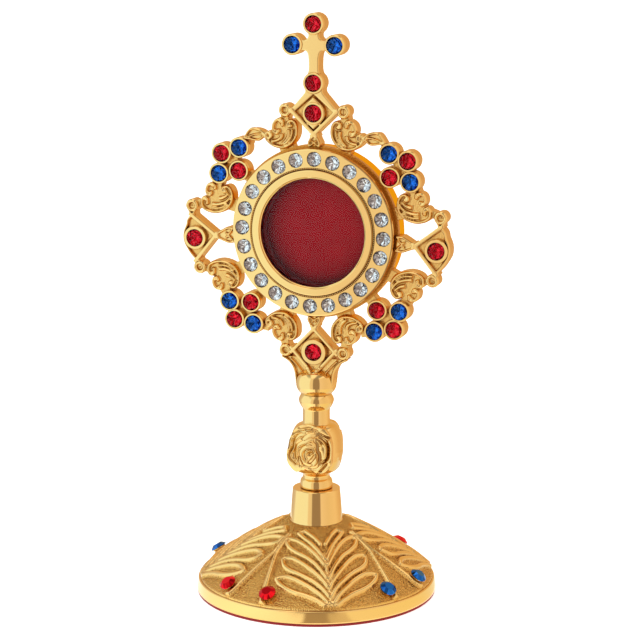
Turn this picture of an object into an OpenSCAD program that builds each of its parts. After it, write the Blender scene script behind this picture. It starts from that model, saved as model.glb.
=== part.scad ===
// Standing reliquary: a glazed relic case in an openwork frame, on a stem with a rose knob and a leaf foot.
// Millimetres, +Z up. The front faces -Y. The origin is the centre of the felt's underside.

/* [Foot] */
// Radius of the rim at its lower edge
foot_r = 34.4; // [28:0.1:42]
// Height of the polished rim
rim_h = 3.5; // [2.5:0.1:6]
// How much the rim narrows upwards
rim_draft = 0.5; // [0:0.1:1]
// Rise of the dome from the rim to the collar's seat
dome_h = 16.2; // [12:0.1:22]
// How far the dome bulges above a straight cone
dome_bulge = 0.6; // [0:0.1:1.5]
// Wall of the cast dome
foot_wall = 1.8; // [1.2:0.1:2.4]
// Height of the leaf relief above the ground
relief_h = 0.6; // [0.3:0.05:1]
// Width of the raised lines of the relief
relief_w = 0.8; // [0.5:0.05:1.1]
// Turn of the front leaf from the front, towards the right
foot_turn = 25.5; // [0:0.5:90]
// Number of leaves around the foot
leaf_count = 4; // [3:1:5]
// Thickness of the felt
felt_t = 0.8; // [0.5:0.1:1.5]
// How far the felt stays inside the rim
felt_inset = 0.2; // [0.1:0.1:0.6]
// Thickness of the card that closes the foot
card_t = 1.2; // [0.8:0.1:2]
// Width of the rim's underside around the card
rim_foot_w = 1.6; // [1.2:0.1:2.5]
// Thickness of the boss under the collar
boss_t = 2.2; // [1.8:0.1:3]

/* [Stones] */
// Radius of the coloured stones
stone_r = 2.4; // [2:0.05:2.7]
// Radius of the clear stones of the ring
crystal_r = 2.0; // [1.7:0.05:2.25]
// Wall of a stone cup on the frame
cup_wall = 0.5; // [0.4:0.05:0.8]
// Wall of the stone cups on the cross
cross_cup_wall = 0.65; // [0.5:0.05:1]
// Wall of the stone cups in the lozenges
lozenge_cup_wall = 1.1; // [0.8:0.05:1.3]
// How far a stone's girdle lies below the edge of its cup
stone_sink = 0.1; // [0.05:0.05:0.3]
// Gap between neighbouring stones of a cluster
cluster_gap = 0.8; // [0.6:0.05:1.4]
// Height of a stone's girdle
girdle_h = 0.3; // [0.2:0.05:0.5]
// Play around a stone in its seat
stone_play = 0.05; // [0.03:0.01:0.1]
// Half the angle between the two stones that flank each inverted Y on the foot
foot_stone_spread = 13; // [11:0.5:15]
// Distance of the foot stones from the rim's lower edge
foot_stone_inset = 3.6; // [3.2:0.1:5]
// Radius of the pegs that carry the foot stones
peg_r = 1.2; // [0.9:0.05:1.5]
// Width of the shoulder by which a peg rests on the dome
peg_shoulder = 0.25; // [0.15:0.05:0.4]
// Height of those pegs above the dome
peg_h = 1.4; // [1:0.1:2]

/* [Collar] */
// Height of the collar
collar_h = 9.7; // [7:0.1:14]
// Radius of the collar at the bottom
collar_bottom_r = 7.7; // [7:0.1:8.5]
// Radius of the collar at the top
collar_top_r = 6.75; // [5.8:0.05:7.4]
// Width of the foot's ledge around the collar
collar_ledge = 0.3; // [0.2:0.1:0.6]
// Wall of the collar
collar_wall = 1.3; // [0.9:0.1:2]

/* [Stem] */
// Radius of the rounded disc on the collar
disc_r = 4.45; // [4.2:0.05:5.2]
// Height of that disc
disc_h = 2.4; // [1.8:0.1:3]
// Radius of the neck below the knob
lower_neck_r = 3.85; // [3.4:0.05:4.1]
// Height of the neck below the knob
lower_neck_h = 1.9; // [1.2:0.1:3]
// Height of the rose knob
knob_h = 14.5; // [12:0.1:18]
// Radius of the knob's body
knob_r = 7.3; // [6.6:0.1:8]
// Radius of a rose
rose_r = 6.5; // [5:0.1:6.8]
// Step between the petal layers of a rose
petal_step = 0.2; // [0.12:0.02:0.4]
// Radius of the neck above the knob
upper_neck_r = 3.75; // [3.3:0.05:4.1]
// Height of the neck above the knob
upper_neck_h = 4.3; // [3:0.1:7]
// Radius of the bead on top of the stem
bead_r = 5.0; // [4.7:0.05:5.6]
// Height of that bead
bead_h = 3.7; // [3:0.1:4.6]
// Radius of the faces where stem and frame meet
joint_r = 4.3; // [3.9:0.05:4.5]

/* [Tie rod] */
// Radius of the rod through foot, collar and stem
rod_r = 1.5; // [1.2:0.1:2]
// Play of the rod in the pieces that it only passes through
rod_play = 0.15; // [0.1:0.05:0.3]
// Depth of the rod's thread in the frame
rod_reach = 5; // [4:0.1:6]
// How far the rod stands below the nut
rod_tail = 1; // [0.5:0.1:2]
// Radius of the washer under the foot's boss
washer_r = 5; // [4:0.1:6]
// Thickness of that washer
washer_t = 0.8; // [0.5:0.1:1.2]
// Size of the nut across its corners
nut_corners = 6.4; // [5:0.1:7.5]
// Height of the nut
nut_h = 2.4; // [1.8:0.1:3]

/* [Case] */
// Radius of the open window
window_r = 15.3; // [13:0.1:18]
// Width of the plain rounded bezel
bezel_w = 2.5; // [2.2:0.1:3.5]
// Width of the band that carries the clear stones
band_w = 5.8; // [5.2:0.1:7]
// Thickness of the crystal ring
ring_t = 2.9; // [2.5:0.1:3.6]
// Number of clear stones
crystal_count = 24; // [18:1:24]
// Turn of the crystal ring in its seat
crystal_turn = -1.7; // [-7:0.1:7]
// How far the ring's back lies behind the face of the casting
ring_sink = 0.8; // [0.6:0.1:1.4]
// Depth of the bezel's skirt behind the ring
bezel_skirt = 0.8; // [0.5:0.1:1.2]
// How deep the clear stones sit below the ring's face
crystal_sink = 0.35; // [0.1:0.05:0.5]
// How far the bezel stands in front of the ring
bezel_proud = 0.3; // [0.1:0.05:0.6]
// Thickness of the bezel's lip in front of the glass
lip_t = 1.3; // [1:0.1:1.8]
// Width of the bezel's lip over the glass
lip_w = 1.3; // [1:0.1:1.8]
// Thickness of the glass
glass_t = 1.2; // [0.8:0.1:2]
// Play around the glass
glass_play = 0.1; // [0.05:0.05:0.2]
// Thickness of the spring ring behind the glass
snap_t = 0.6; // [0.4:0.05:0.9]
// Width of the spring ring
snap_w = 0.9; // [0.6:0.05:1.1]
// Depth from the glass to the backing pad
chamber_depth = 4.5; // [4.3:0.1:7]
// Wall of the drum
drum_wall = 1.1; // [0.8:0.1:1.6]
// How far the drum stays inside the ring's edge
drum_inset = 1.2; // [0.9:0.1:1.6]
// Play of the lining in the drum
lining_play = 0.1; // [0.05:0.05:0.2]
// Thickness of the backing pad
pad_t = 3; // [2:0.1:4]
// Gap between the pad and the drum, and between the pad and the lining
pad_gap = 0.3; // [0.2:0.05:0.5]
// Wall of the lid's skirt
lid_wall = 1.5; // [1.1:0.1:2]
// Thickness of the lid's plate
lid_t = 1; // [0.8:0.1:1.5]
// Step of the lining behind the edge of the window
lining_step = 0.1; // [0.05:0.05:0.3]
// Sliding play of the lid on the drum
lid_play = 0.05; // [0.03:0.01:0.09]
// Gap between the lid and the frame, and between the drum's end and the lid's plate
lid_gap = 0.3; // [0.25:0.05:0.6]
// Rounding of the lid's edge
lid_round = 1; // [0.5:0.1:1.4]

/* [Frame] */
// Height of the ring's centre above the foot of the frame
ring_rise = 47.3; // [46:0.1:54]
// Thickness of the casting
frame_t = 4.8; // [4.2:0.1:6]
// Distance of the casting's front from the stem's axis
frame_front = 2.5; // [2:0.1:3]
// Height of the raised ridges on the casting
ridge_h = 0.7; // [0.4:0.05:1]
// How far the stone cups stand in front of the ridges
cup_proud = 0.4; // [0.2:0.05:0.8]
// How far the casting's body steps out beyond the ridges
edge_step = 0.15; // [0.1:0.05:0.3]
// Width of the scroll ridges
ridge_w = 0.85; // [0.6:0.05:1.1]
// Width of the lozenges' bars
bar_w = 1.1; // [0.8:0.05:1.3]
// Wall of the hoop around the drum
hoop_wall = 1.9; // [1.5:0.1:2.4]
// Gap between the crystal ring's edge and the ornaments
ring_gap = 0.15; // [0.1:0.05:0.3]
// Width of the roots that tie the ornaments to the hoop
root_w = 3; // [2:0.1:4]
// Radius of the bulb at the foot of the frame
bulb_r = 5.8; // [5.2:0.05:6.4]
// Height of the bulb
bulb_h = 7.4; // [6.6:0.1:8.4]
// Reach of the top lozenge's stone beyond the ring's edge
top_lozenge_reach = 9.9; // [9:0.1:12]
// Reach of the bottom lozenge's stone beyond the ring's edge
bottom_lozenge_reach = 10.5; // [9.5:0.1:12]
// Reach of the side lozenges' stones beyond the ring's edge
side_lozenge_reach = 12.1; // [11:0.1:14]
// Angle of the side lozenges below the middle
side_lozenge_drop = 5.4; // [0:0.1:8]
// Height of the cross from its lower stone to its upper stone
cross_h = 16.2; // [13:0.1:20]
// Rise from the top lozenge's stone to the cross's lower stone
cross_foot = 8.05; // [7.5:0.05:9.5]
// Half the span of the cross between its side stones
cross_arm = 6.15; // [5.8:0.05:8]
// Height of the cross's arms above its lower stone
cross_arm_h = 10.45; // [8:0.05:12]
// Width of the cross's bars
cross_w = 2.9; // [2.2:0.1:3.4]
// Radius of the dimpled knobs at the lozenges' corners
knop_r = 1.8; // [1.4:0.05:2.1]

/* [Hidden] */
$fn = 48;

gold = [0.90, 0.70, 0.33];
deep_gold = [0.80, 0.55, 0.22];
ruby = [0.70, 0.03, 0.08];
sapphire = [0.04, 0.16, 0.50];
clear = [0.85, 0.88, 0.92];
velvet = [0.55, 0.06, 0.12];

// Cut of every stone, as shares of its radius
pavilion_share = 0.62;
crown_share = 0.34;
table_share = 0.58;
facets = 8;

// Levels along the axis, from the table upwards
rim_top = felt_t + rim_h;
seat_z = rim_top + dome_h;
stem_z = seat_z + collar_h;
lower_neck_z = stem_z + disc_h;
knob_z = lower_neck_z + lower_neck_h;
knob_mid = knob_z + knob_h / 2;
upper_neck_z = knob_z + knob_h;
bead_z = upper_neck_z + upper_neck_h;
frame_z = bead_z + bead_h;
ring_z = frame_z + ring_rise;

// Outline of the dome: two cones that meet at its bulge
dome_foot_r = foot_r - rim_draft;
dome_top_r = collar_bottom_r + collar_ledge;
dome_mid = [(dome_foot_r + dome_top_r) / 2 + dome_bulge * dome_h / foot_r,
            (rim_top + seat_z) / 2 + dome_bulge];
wall_drop = foot_wall / cos(atan(dome_h / (dome_foot_r - dome_top_r)));
card_r = foot_r - rim_foot_w;
rod_hole_r = rod_r + rod_play;

// Places of the foot stones: circle, height and lean of the dome there
foot_stone_circle = foot_r - foot_stone_inset;
dome_slope = (dome_mid[1] - rim_top) / (dome_foot_r - dome_mid[0]);
foot_stone_z = rim_top + (dome_foot_r - foot_stone_circle) * dome_slope;
foot_stone_lean = atan(dome_slope);
y_turn = foot_turn - 180 / leaf_count;
peg_head_r = stone_r * 0.8;
foot_stone_rise = peg_h + (stone_r - peg_head_r) * pavilion_share;

// Radii of the case, from the window outwards
bezel_r = window_r + bezel_w;
ring_r = bezel_r + band_w;
crystal_circle = (bezel_r + ring_r) / 2;
drum_r = ring_r - drum_inset;
drum_in_r = drum_r - drum_wall;
hoop_r = drum_r + hoop_wall;
glass_seat_r = window_r + lip_w;
glass_r = glass_seat_r - glass_play;
lid_r = drum_r + lid_play + lid_wall;
pad_r = drum_in_r - pad_gap;
lining_r = drum_in_r - lining_play;
lining_in_r = window_r + lining_step;

// Levels of the case, counted forwards from the stem's axis
frame_back = frame_front - frame_t;
plate_front = frame_front - ridge_h;
cup_front = frame_front + cup_proud;
ring_back = plate_front - ring_sink;
ring_front = ring_back + ring_t;
bezel_front = ring_front + bezel_proud;
glass_front = bezel_front - lip_t;
glass_back = glass_front - glass_t;
snap_back = glass_back - snap_t;
pad_front = glass_back - chamber_depth;
lining_back = pad_front + pad_gap;
lid_plate = pad_front - pad_t;
lid_back = lid_plate - lid_t;
lid_front = frame_back - lid_gap;
drum_back = lid_plate + lid_gap;
bezel_back = ring_back - bezel_skirt;

// A place around the ring, by its angle and its reach beyond the ring's edge
function around(angle, reach) = (ring_r + reach) * [cos(angle), sin(angle)];

// Places of the ornaments, from the ring's centre; the left half mirrors the right
top_lozenge = around(90, top_lozenge_reach);
bottom_lozenge = around(-90, bottom_lozenge_reach);
side_lozenge = around(-side_lozenge_drop, side_lozenge_reach);
upper_cluster = around(37.4, 7.6);
lower_cluster = around(-48, 8.3);
upper_shell = around(70.4, 5.1);
upper_side_shell = around(14.5, 6.4);
lower_shell = around(-70.2, 5.2);
lower_side_shell = around(-25.5, 6.6);
cluster_pitch = 2 * stone_r + cluster_gap;
upper_cluster_red = [upper_cluster + cluster_pitch * [0.43, 0.39], upper_cluster + cluster_pitch * [-0.48, -0.46]];
upper_cluster_blue = [upper_cluster + cluster_pitch * [-0.52, 0.71], upper_cluster + cluster_pitch * [0.57, -0.63]];
lower_cluster_red = [lower_cluster + cluster_pitch * [0.41, -0.43], lower_cluster + cluster_pitch * [-0.48, 0.5]];
lower_cluster_blue = [lower_cluster + cluster_pitch * [0.68, 0.5], lower_cluster + cluster_pitch * [-0.61, -0.59]];
cluster_cups = concat(upper_cluster_red, upper_cluster_blue, lower_cluster_red, lower_cluster_blue);
cross_bottom = top_lozenge + [0, cross_foot];
cross_top = cross_bottom + [0, cross_h];
cross_side = cross_bottom + [cross_arm, cross_arm_h];
cup_r = stone_r + stone_play + cup_wall;
cross_cup_r = stone_r + stone_play + cross_cup_wall;
lozenge_cup_r = stone_r + stone_play + lozenge_cup_wall;
stone_level = cup_front - girdle_h - stone_sink;
crystal_level = ring_front - crystal_sink - girdle_h;

// Corners of the lozenges, from their stones
upright_side = [6.1, 0.3];
upright_tip = 5.3;
upright_foot = 6.2;
side_top = [1.2, 6.7];
side_inner = [-5.9, 1.2];
side_bottom = [-0.8, -6];
knop_top = [8.6, 0.3];
knop_side_top = [1, 9.1];
knop_side_bottom = [-1.1, -8.4];

// Lines of the shell scroll, from its middle: x points away from the frame's centre line, y away from the ring
shell_rim = [[3.7, 0.3], [4.5, 0.5], [4.9, -0.4], [4.5, -1.6], [3.1, -3], [1.2, -3.8], [-0.8, -3.9], [-2.6, -3.2],
             [-3.9, -1.7], [-4.4, 0.3], [-4.3, 2.2], [-3.6, 3.5], [-2.4, 3.7], [-1.7, 2.9], [-2.3, 2.2]];
shell_rib = [[3.6, -0.9], [2.2, -2], [0.3, -2.5], [-1.5, -1.9], [-2.6, -0.5], [-2.9, 1.2]];
shell_inner_rib = [[2.7, -0.3], [1.2, -1.1], [-0.2, -1.1], [-1.2, -0.2], [-1.4, 1]];
shell_scroll = [[-0.3, 2.6], [-0.2, 3.7], [1, 4.2], [2.4, 3.7], [3.1, 2.3], [2.6, 0.9], [1.4, 0.8], [1.2, 1.8]];

// Side of the rose knob, as shares of its radius and height
knob_side = [[0.56, 0], [0.76, 0.1], [0.9, 0.2], [0.975, 0.33], [1, 0.45], [0.985, 0.64], [0.92, 0.81],
             [0.79, 0.92], [0.56, 1]];
// Layers of a rose: number of petals, share of the rose's radius, size of a petal
rose_layers = [[7, 1, 0.42], [6, 0.76, 0.44], [5, 0.53, 0.48], [3, 0.32, 0.6], [1, 0.14, 1]];

// Leaflets of a foot leaf: root on the midrib, rounded end, half width; along the leaf and across it
leaflets = [[[32.2, 0.9], [22.6, 13.4], 2.1], [[28.6, 0.8], [17.2, 11.5], 1.9], [[24.8, 0.7], [11.6, 9.3], 1.6],
            [[20.2, 0.6], [8.9, 5.9], 1.15]];
// The same lengths on a foot of another size
leaf_scale = dome_foot_r / 33.9;

// Points of a smooth curve through a list of points, with n steps between them
function curve(p, n) = [
    for (i = [0 : len(p) - 2], k = [0 : n - 1])
        let (a = p[max(i - 1, 0)], b = p[i], c = p[i + 1], d = p[min(i + 2, len(p) - 1)], t = k / n)
            0.5 * (2 * b + (c - a) * t + (2 * a - 5 * b + 4 * c - d) * t ^ 2 + (3 * b - a - 3 * c + d) * t ^ 3),
    p[len(p) - 1]];

// Unit normal of a line of points at point i
function normal(p, i) =
    let (v = p[min(i + 1, len(p) - 1)] - p[max(i - 1, 0)]) [-v[1], v[0]] / norm(v);

// Flat ribbon along a line of points, with round ends; its width goes from w0 to w1
module ribbon(p, w0, w1) {
    last = len(p) - 1;
    half = [for (i = [0 : last]) (w0 + (w1 - w0) * i / last) / 2];
    polygon(concat([for (i = [0 : last]) p[i] + half[i] * normal(p, i)],
                   [for (i = [last : -1 : 0]) p[i] - half[i] * normal(p, i)]));
    translate(p[0]) circle(d = w0, $fn = 16);
    translate(p[last]) circle(d = w1, $fn = 16);
}

module both_sides() {
    children();
    mirror([1, 0, 0]) children();
}

// A flat shape in the frame's plane, drawn from the ring's centre and raised from depth u0 to u1
module front_prism(u0, u1) {
    translate([0, -u0, ring_z]) rotate([90, 0, 0]) linear_extrude(u1 - u0) children();
}

// Children stand at place p of the frame, with their own Z towards the front
module facing_front(p, u) {
    translate([p[0], -u, ring_z + p[1]]) rotate([90, 0, 0]) children();
}

// A ring turned about the case's axis, from a profile of radius and forward depth
module case_ring() {
    facing_front([0, 0], 0) rotate_extrude($fn = 96) children();
}

// A faceted stone whose girdle starts at z = 0
module stone(r) {
    rotate(180 / facets) {
        translate([0, 0, -r * pavilion_share]) cylinder(h = r * pavilion_share, r1 = 0, r2 = r, $fn = facets);
        cylinder(h = girdle_h, r = r, $fn = facets);
        translate([0, 0, girdle_h]) cylinder(h = r * crown_share, r1 = r, r2 = r * table_share, $fn = facets);
    }
}

// The seat that is cut for such a stone, open towards +Z
module stone_seat(r) {
    translate([0, 0, -r * pavilion_share]) cylinder(h = r * pavilion_share, r1 = 0, r2 = r);
    cylinder(h = 3, r = r + stone_play);
}

// Children stand on the dome at the two foot stones of inverted Y number k
module at_foot_stones(k) {
    for (side = [-1, 1])
        rotate(y_turn + k * 360 / leaf_count + side * foot_stone_spread - 90)
            translate([foot_stone_circle, 0, foot_stone_z])
                rotate([0, foot_stone_lean, 0])
                    children();
}

module base_felt() {
    color(velvet) cylinder(h = felt_t, r = foot_r - felt_inset, $fn = 96);
}

module base_card() {
    color("tan") translate([0, 0, felt_t]) cylinder(h = card_t, r = card_r, $fn = 96);
}

// One leaflet: a teardrop from its root to its round end, slightly bowed towards the rim
module leaflet(root, end, half_w) {
    along = end - root;
    across = [-along[1], along[0]] / norm(along);
    steps = 8;
    bow = 0.9;
    mid = [for (i = [0 : steps]) let (t = i / steps) root + along * t - across * bow * 4 * t * (1 - t)];
    half = [for (i = [0 : steps]) let (t = i / steps) 0.15 + half_w * 1.25 * t ^ 0.8 * sqrt(1 - t ^ 5)];
    polygon(concat([for (i = [0 : steps]) mid[i] + across * half[i]],
                   [for (i = [steps : -1 : 0]) mid[i] - across * half[i]]));
}

// Plan of one foot leaf along +X: midrib and hollow leaflets on both sides
module leaf_plan() {
    scale(leaf_scale) {
        ribbon([[33, 0], [9.5, 0]], 1.6, 0.7);
        for (side = [0, 1], l = leaflets)
            mirror([0, side]) difference() {
                leaflet(l[0], l[1], l[2]);
                offset(delta = -relief_w) leaflet(l[0], l[1], l[2]);
            }
    }
}

// Plan of one inverted Y along +X, with two horns that curve away near the rim
module y_plan() {
    scale(leaf_scale) {
        ribbon([[14.5, 0], [23, 0]], 0.7, 1.3);
        for (side = [0, 1])
            mirror([0, side]) ribbon(curve([[22, 0.2], [26, 1.1], [29, 3], [30.6, 5.2]], 3), 1.3, 0.5);
    }
}

module foot_relief() {
    intersection() {
        linear_extrude(seat_z) offset(delta = 0.01) difference() {
            for (k = [0 : leaf_count - 1]) {
                rotate(foot_turn + k * 360 / leaf_count - 90) leaf_plan();
                rotate(y_turn + k * 360 / leaf_count - 90) y_plan();
            }
            circle(r = dome_top_r + 0.2);
            for (k = [0 : leaf_count - 1], side = [-1, 1])
                rotate(y_turn + k * 360 / leaf_count + side * foot_stone_spread - 90)
                    translate([foot_stone_circle, 0]) circle(r = stone_r);
        }
        rotate_extrude($fn = 96)
            polygon([[1, seat_z], [1, rim_top - 0.5], [dome_foot_r - 1.4, rim_top - 0.5],
                     [dome_foot_r - 0.6, rim_top + relief_h], dome_mid + [0, relief_h],
                     [dome_top_r, seat_z + relief_h], [dome_top_r, seat_z]]);
    }
}

module foot() {
    color(gold) difference() {
        union() {
            rotate_extrude($fn = 96)
                polygon([[rod_hole_r, seat_z], [dome_top_r, seat_z], dome_mid, [dome_foot_r, rim_top],
                         [foot_r, felt_t], [card_r, felt_t], [card_r, felt_t + card_t],
                         [card_r - 1.2, felt_t + card_t],
                         [dome_foot_r - 2.4, rim_top + 1.2 - foot_wall], dome_mid - [0, wall_drop],
                         [washer_r + 1, seat_z - boss_t], [rod_hole_r, seat_z - boss_t]]);
            foot_relief();
        }
        for (k = [0 : leaf_count - 1])
            at_foot_stones(k) translate([0, 0, -5]) cylinder(h = 8, r = peg_r);
    }
}

// A riveted peg whose head is cupped for its stone
module foot_stone_cup() {
    difference() {
        rotate_extrude()
            polygon([[0, -foot_wall], [peg_r, -foot_wall], [peg_r, 0], [peg_r + peg_shoulder, 0],
                     [peg_r + peg_shoulder, peg_h / 2], [peg_head_r, peg_h], [0, peg_h]]);
        translate([0, 0, foot_stone_rise]) stone_seat(stone_r);
    }
}

module foot_stone_cups() {
    color(gold) for (k = [0 : leaf_count - 1])
        at_foot_stones(k) foot_stone_cup();
}

module foot_stones(first) {
    for (k = [first : 2 : leaf_count - 1])
        at_foot_stones(k) translate([0, 0, foot_stone_rise]) stone(stone_r);
}

module foot_red_stones() {
    color(ruby) foot_stones(0);
}

module foot_blue_stones() {
    color(sapphire) foot_stones(1);
}

module collar() {
    color(gold) translate([0, 0, seat_z]) rotate_extrude($fn = 96)
        polygon([[collar_bottom_r, 0], [collar_bottom_r, 0.5], [collar_bottom_r - 0.15, 0.7],
                 [collar_top_r, collar_h - 0.2], [collar_top_r - 0.2, collar_h], [rod_hole_r, collar_h],
                 [rod_hole_r, collar_h - collar_wall], [collar_top_r - collar_wall, collar_h - collar_wall],
                 [collar_bottom_r - collar_wall, 0]]);
}

// The knob's body, grown outwards for a layer of petals
module knob_body(grow) {
    translate([0, 0, knob_z]) rotate_extrude()
        polygon(concat([[0, 0]], [for (p = knob_side) [knob_r * p[0] + grow, knob_h * p[1]]], [[0, knob_h]]));
}

// A rose on the knob's front: layers of petals that shrink and rise towards a bud
module rose() {
    for (i = [0 : len(rose_layers) - 1]) {
        n = rose_layers[i][0];
        r = rose_r * rose_layers[i][1];
        petal_r = r * rose_layers[i][2];
        intersection() {
            knob_body((i + 1) * petal_step);
            translate([0, -knob_r * 0.45, knob_mid]) rotate([90, 0, 0]) linear_extrude(knob_r)
                offset(delta = 0.01) for (k = [0 : n - 1])
                    rotate(k * 360 / n + i * 37) translate([r - petal_r, 0]) circle(r = petal_r, $fn = 20);
        }
    }
}

module stem() {
    disc_round = disc_h * 0.4;
    color(gold) difference() {
        union() {
            translate([0, 0, stem_z]) rotate_extrude() {
                square([disc_r - disc_round, disc_h]);
                translate([0, disc_h / 2 - disc_round]) square([disc_r - disc_round, 2 * disc_round]);
                translate([disc_r - disc_round, disc_h / 2]) circle(r = disc_round);
            }
            translate([0, 0, lower_neck_z - 0.2]) cylinder(h = lower_neck_h + 1.2, r = lower_neck_r);
            knob_body(0);
            rose();
            rotate(180) rose();
            translate([0, 0, upper_neck_z - 1.5]) cylinder(h = upper_neck_h + 2, r = upper_neck_r);
            translate([0, 0, upper_neck_z - 0.6]) cylinder(h = 1.4, r1 = upper_neck_r + 0.9, r2 = upper_neck_r);
            translate([0, 0, bead_z]) rotate_extrude()
                polygon([[0, 0], [upper_neck_r + 0.2, 0], [bead_r - 0.3, bead_h * 0.32], [bead_r, bead_h * 0.46],
                         [bead_r - 0.1, bead_h * 0.62], [bead_r - 0.55, bead_h * 0.86], [joint_r, bead_h],
                         [0, bead_h]]);
        }
        translate([0, 0, stem_z - 1]) cylinder(h = frame_z - stem_z + 2, r = rod_hole_r);
    }
}

module tie_rod() {
    bottom = seat_z - boss_t - washer_t - nut_h - rod_tail;
    color("silver") translate([0, 0, bottom]) cylinder(h = frame_z + rod_reach - bottom, r = rod_r);
}

module tie_washer() {
    color("silver") translate([0, 0, seat_z - boss_t - washer_t]) difference() {
        cylinder(h = washer_t, r = washer_r);
        translate([0, 0, -1]) cylinder(h = washer_t + 2, r = rod_hole_r);
    }
}

module tie_nut() {
    color("silver") translate([0, 0, seat_z - boss_t - washer_t - nut_h]) difference() {
        cylinder(h = nut_h, d = nut_corners, $fn = 6);
        translate([0, 0, -1]) cylinder(h = nut_h + 2, r = rod_r);
    }
}

// A shell scroll placed on the frame; flip = -1 turns it upside down
module place_shell(p, flip) {
    translate(p) scale([1, flip]) children();
}

module each_shell() {
    place_shell(upper_shell, 1) children();
    place_shell(upper_side_shell, 1) children();
    place_shell(lower_shell, -1) children();
    place_shell(lower_side_shell, -1) children();
}

module shell_plate() {
    offset(delta = ridge_w / 2) {
        polygon(curve(shell_rim, 3));
        polygon(curve(shell_scroll, 3));
    }
}

module shell_ridges() {
    ribbon(curve(shell_rim, 3), ridge_w, ridge_w);
    ribbon(curve(shell_rib, 2), ridge_w * 0.8, ridge_w * 0.8);
    ribbon(curve(shell_inner_rib, 2), ridge_w * 0.75, ridge_w * 0.75);
    ribbon(curve(shell_scroll, 3), ridge_w, ridge_w);
}

// Tapered tulip from the corner of a lozenge to the hoop
module tulip(corner, flare) {
    edge = ring_r + ring_gap;
    dir = corner / norm(corner);
    across = [-dir[1], dir[0]];
    reach = norm(corner) - edge;
    polygon([corner + across * 0.9, corner - across * 0.9, dir * (edge + reach * 0.55) - across * flare * 0.8,
             dir * (edge + reach * 0.2) - across * flare, dir * drum_r - across * flare,
             dir * drum_r + across * flare, dir * (edge + reach * 0.2) + across * flare,
             dir * (edge + reach * 0.55) + across * flare * 0.8]);
}

// Straight root from an ornament to the hoop
module root(p) {
    ribbon([p, p / norm(p) * drum_r], root_w, root_w);
}

module link(a, b, w) {
    ribbon([a, b], w, w);
}

// The almond leaf that joins the upper shell to the upper cluster
leaf_start = upper_shell + [4.6, 0.2];
leaf_end = upper_cluster_blue[0] + [-1.2, cup_r - 0.4];
leaf_mid = (leaf_start + leaf_end) / 2 + [0, 0.3];
module connector_leaf(half_w) {
    polygon(concat(curve([leaf_start, leaf_mid + [0, half_w], leaf_end], 5),
                   curve([leaf_end, leaf_mid - [0, half_w], leaf_start], 5)));
}

// Corners of the three kinds of lozenge
top_corners = [top_lozenge + upright_side, top_lozenge - [0, upright_tip]];
bottom_corners = [bottom_lozenge + upright_side, bottom_lozenge + [0, upright_foot + 0.7]];
bottom_tip = bottom_lozenge - [0, upright_foot];
side_corners = [side_lozenge + side_top, side_lozenge + side_inner, side_lozenge + side_bottom];
side_outline = [side_lozenge + side_top, side_lozenge + [3.1, 3.3], side_lozenge + [3.75, 0],
                side_lozenge + [2.9, -3.3], side_lozenge + side_bottom];
knops = [top_lozenge + knop_top, bottom_lozenge + [knop_top[0], 0], side_lozenge + knop_side_top,
         side_lozenge + knop_side_bottom];

// Half outline of the flank between the bottom lozenge and the bulb
bulb_level = -ring_rise + bulb_h * 0.5;
flank = curve([bottom_lozenge + [9.6, -1.6], bottom_lozenge + [7.4, -3.4], bottom_lozenge + [6.1, -5.4],
               [bulb_r - 0.4, bulb_level + 2.6], [bulb_r - 0.5, bulb_level]], 3);

module half_plate() {
    each_shell() shell_plate();
    for (c = cluster_cups)
        translate(c) circle(r = cup_r, $fn = 32);
    for (c = [upper_cluster, lower_cluster])
        translate(c) circle(r = cluster_pitch * 0.52, $fn = 24);
    polygon([top_lozenge + [0, 6], top_corners[0], top_corners[1]]);
    polygon([bottom_corners[1], bottom_corners[0], bottom_tip]);
    polygon(concat(side_corners, curve([for (i = [4 : -1 : 0]) side_outline[i]], 3)));
    for (k = knops)
        translate(k) circle(r = knop_r, $fn = 24);
    polygon(concat([[0, bulb_level], bottom_lozenge, bottom_corners[0]], flank));
    connector_leaf(1.7);
    tulip(side_corners[1], 2.3);
    root(upper_shell + [-0.8, -3]);
    root(upper_side_shell + [-3, -1.5]);
    root(lower_shell + [-0.8, 3]);
    root(lower_side_shell + [-3, 1.5]);
    root(upper_cluster_red[1]);
    root(lower_cluster_red[1]);
    link(knops[0], upper_shell + [-0.3, 2.6], 2.6);
    link(knops[0], top_corners[0], 1.8);
    link(knops[1], lower_shell + [-0.3, -2.6], 2.6);
    link(knops[1], bottom_corners[0], 1.8);
    link(knops[2], upper_side_shell + [3.7, -0.8], 2);
    link(knops[2], side_corners[0], 1.8);
    link(knops[3], lower_side_shell + [3.7, 0.8], 2);
    link(knops[3], side_corners[2], 1.8);
    link(lower_cluster_blue[1], lower_shell + [4, 0.8], 2.2);
    link(lower_cluster_blue[0], lower_side_shell + [0.6, -3.2], 2.4);
    link(upper_cluster_blue[1], upper_side_shell + [0.9, 3.2], 2.4);
    link(upper_cluster_blue[0], leaf_end, 2);
}

module cross_plate() {
    link(top_lozenge + [0, 3], cross_top, cross_w);
    link(cross_side, cross_side - [2 * cross_arm, 0], cross_w * 0.95);
    link(cross_side - [2.2, 0], cross_side - [2 * cross_arm - 2.2, 0], cross_w * 1.25);
}

module frame_plate() {
    offset(delta = edge_step) {
        both_sides() half_plate();
        cross_plate();
        tulip(top_corners[1], 1.7);
        tulip(bottom_corners[1], 1.9);
    }
}

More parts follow.
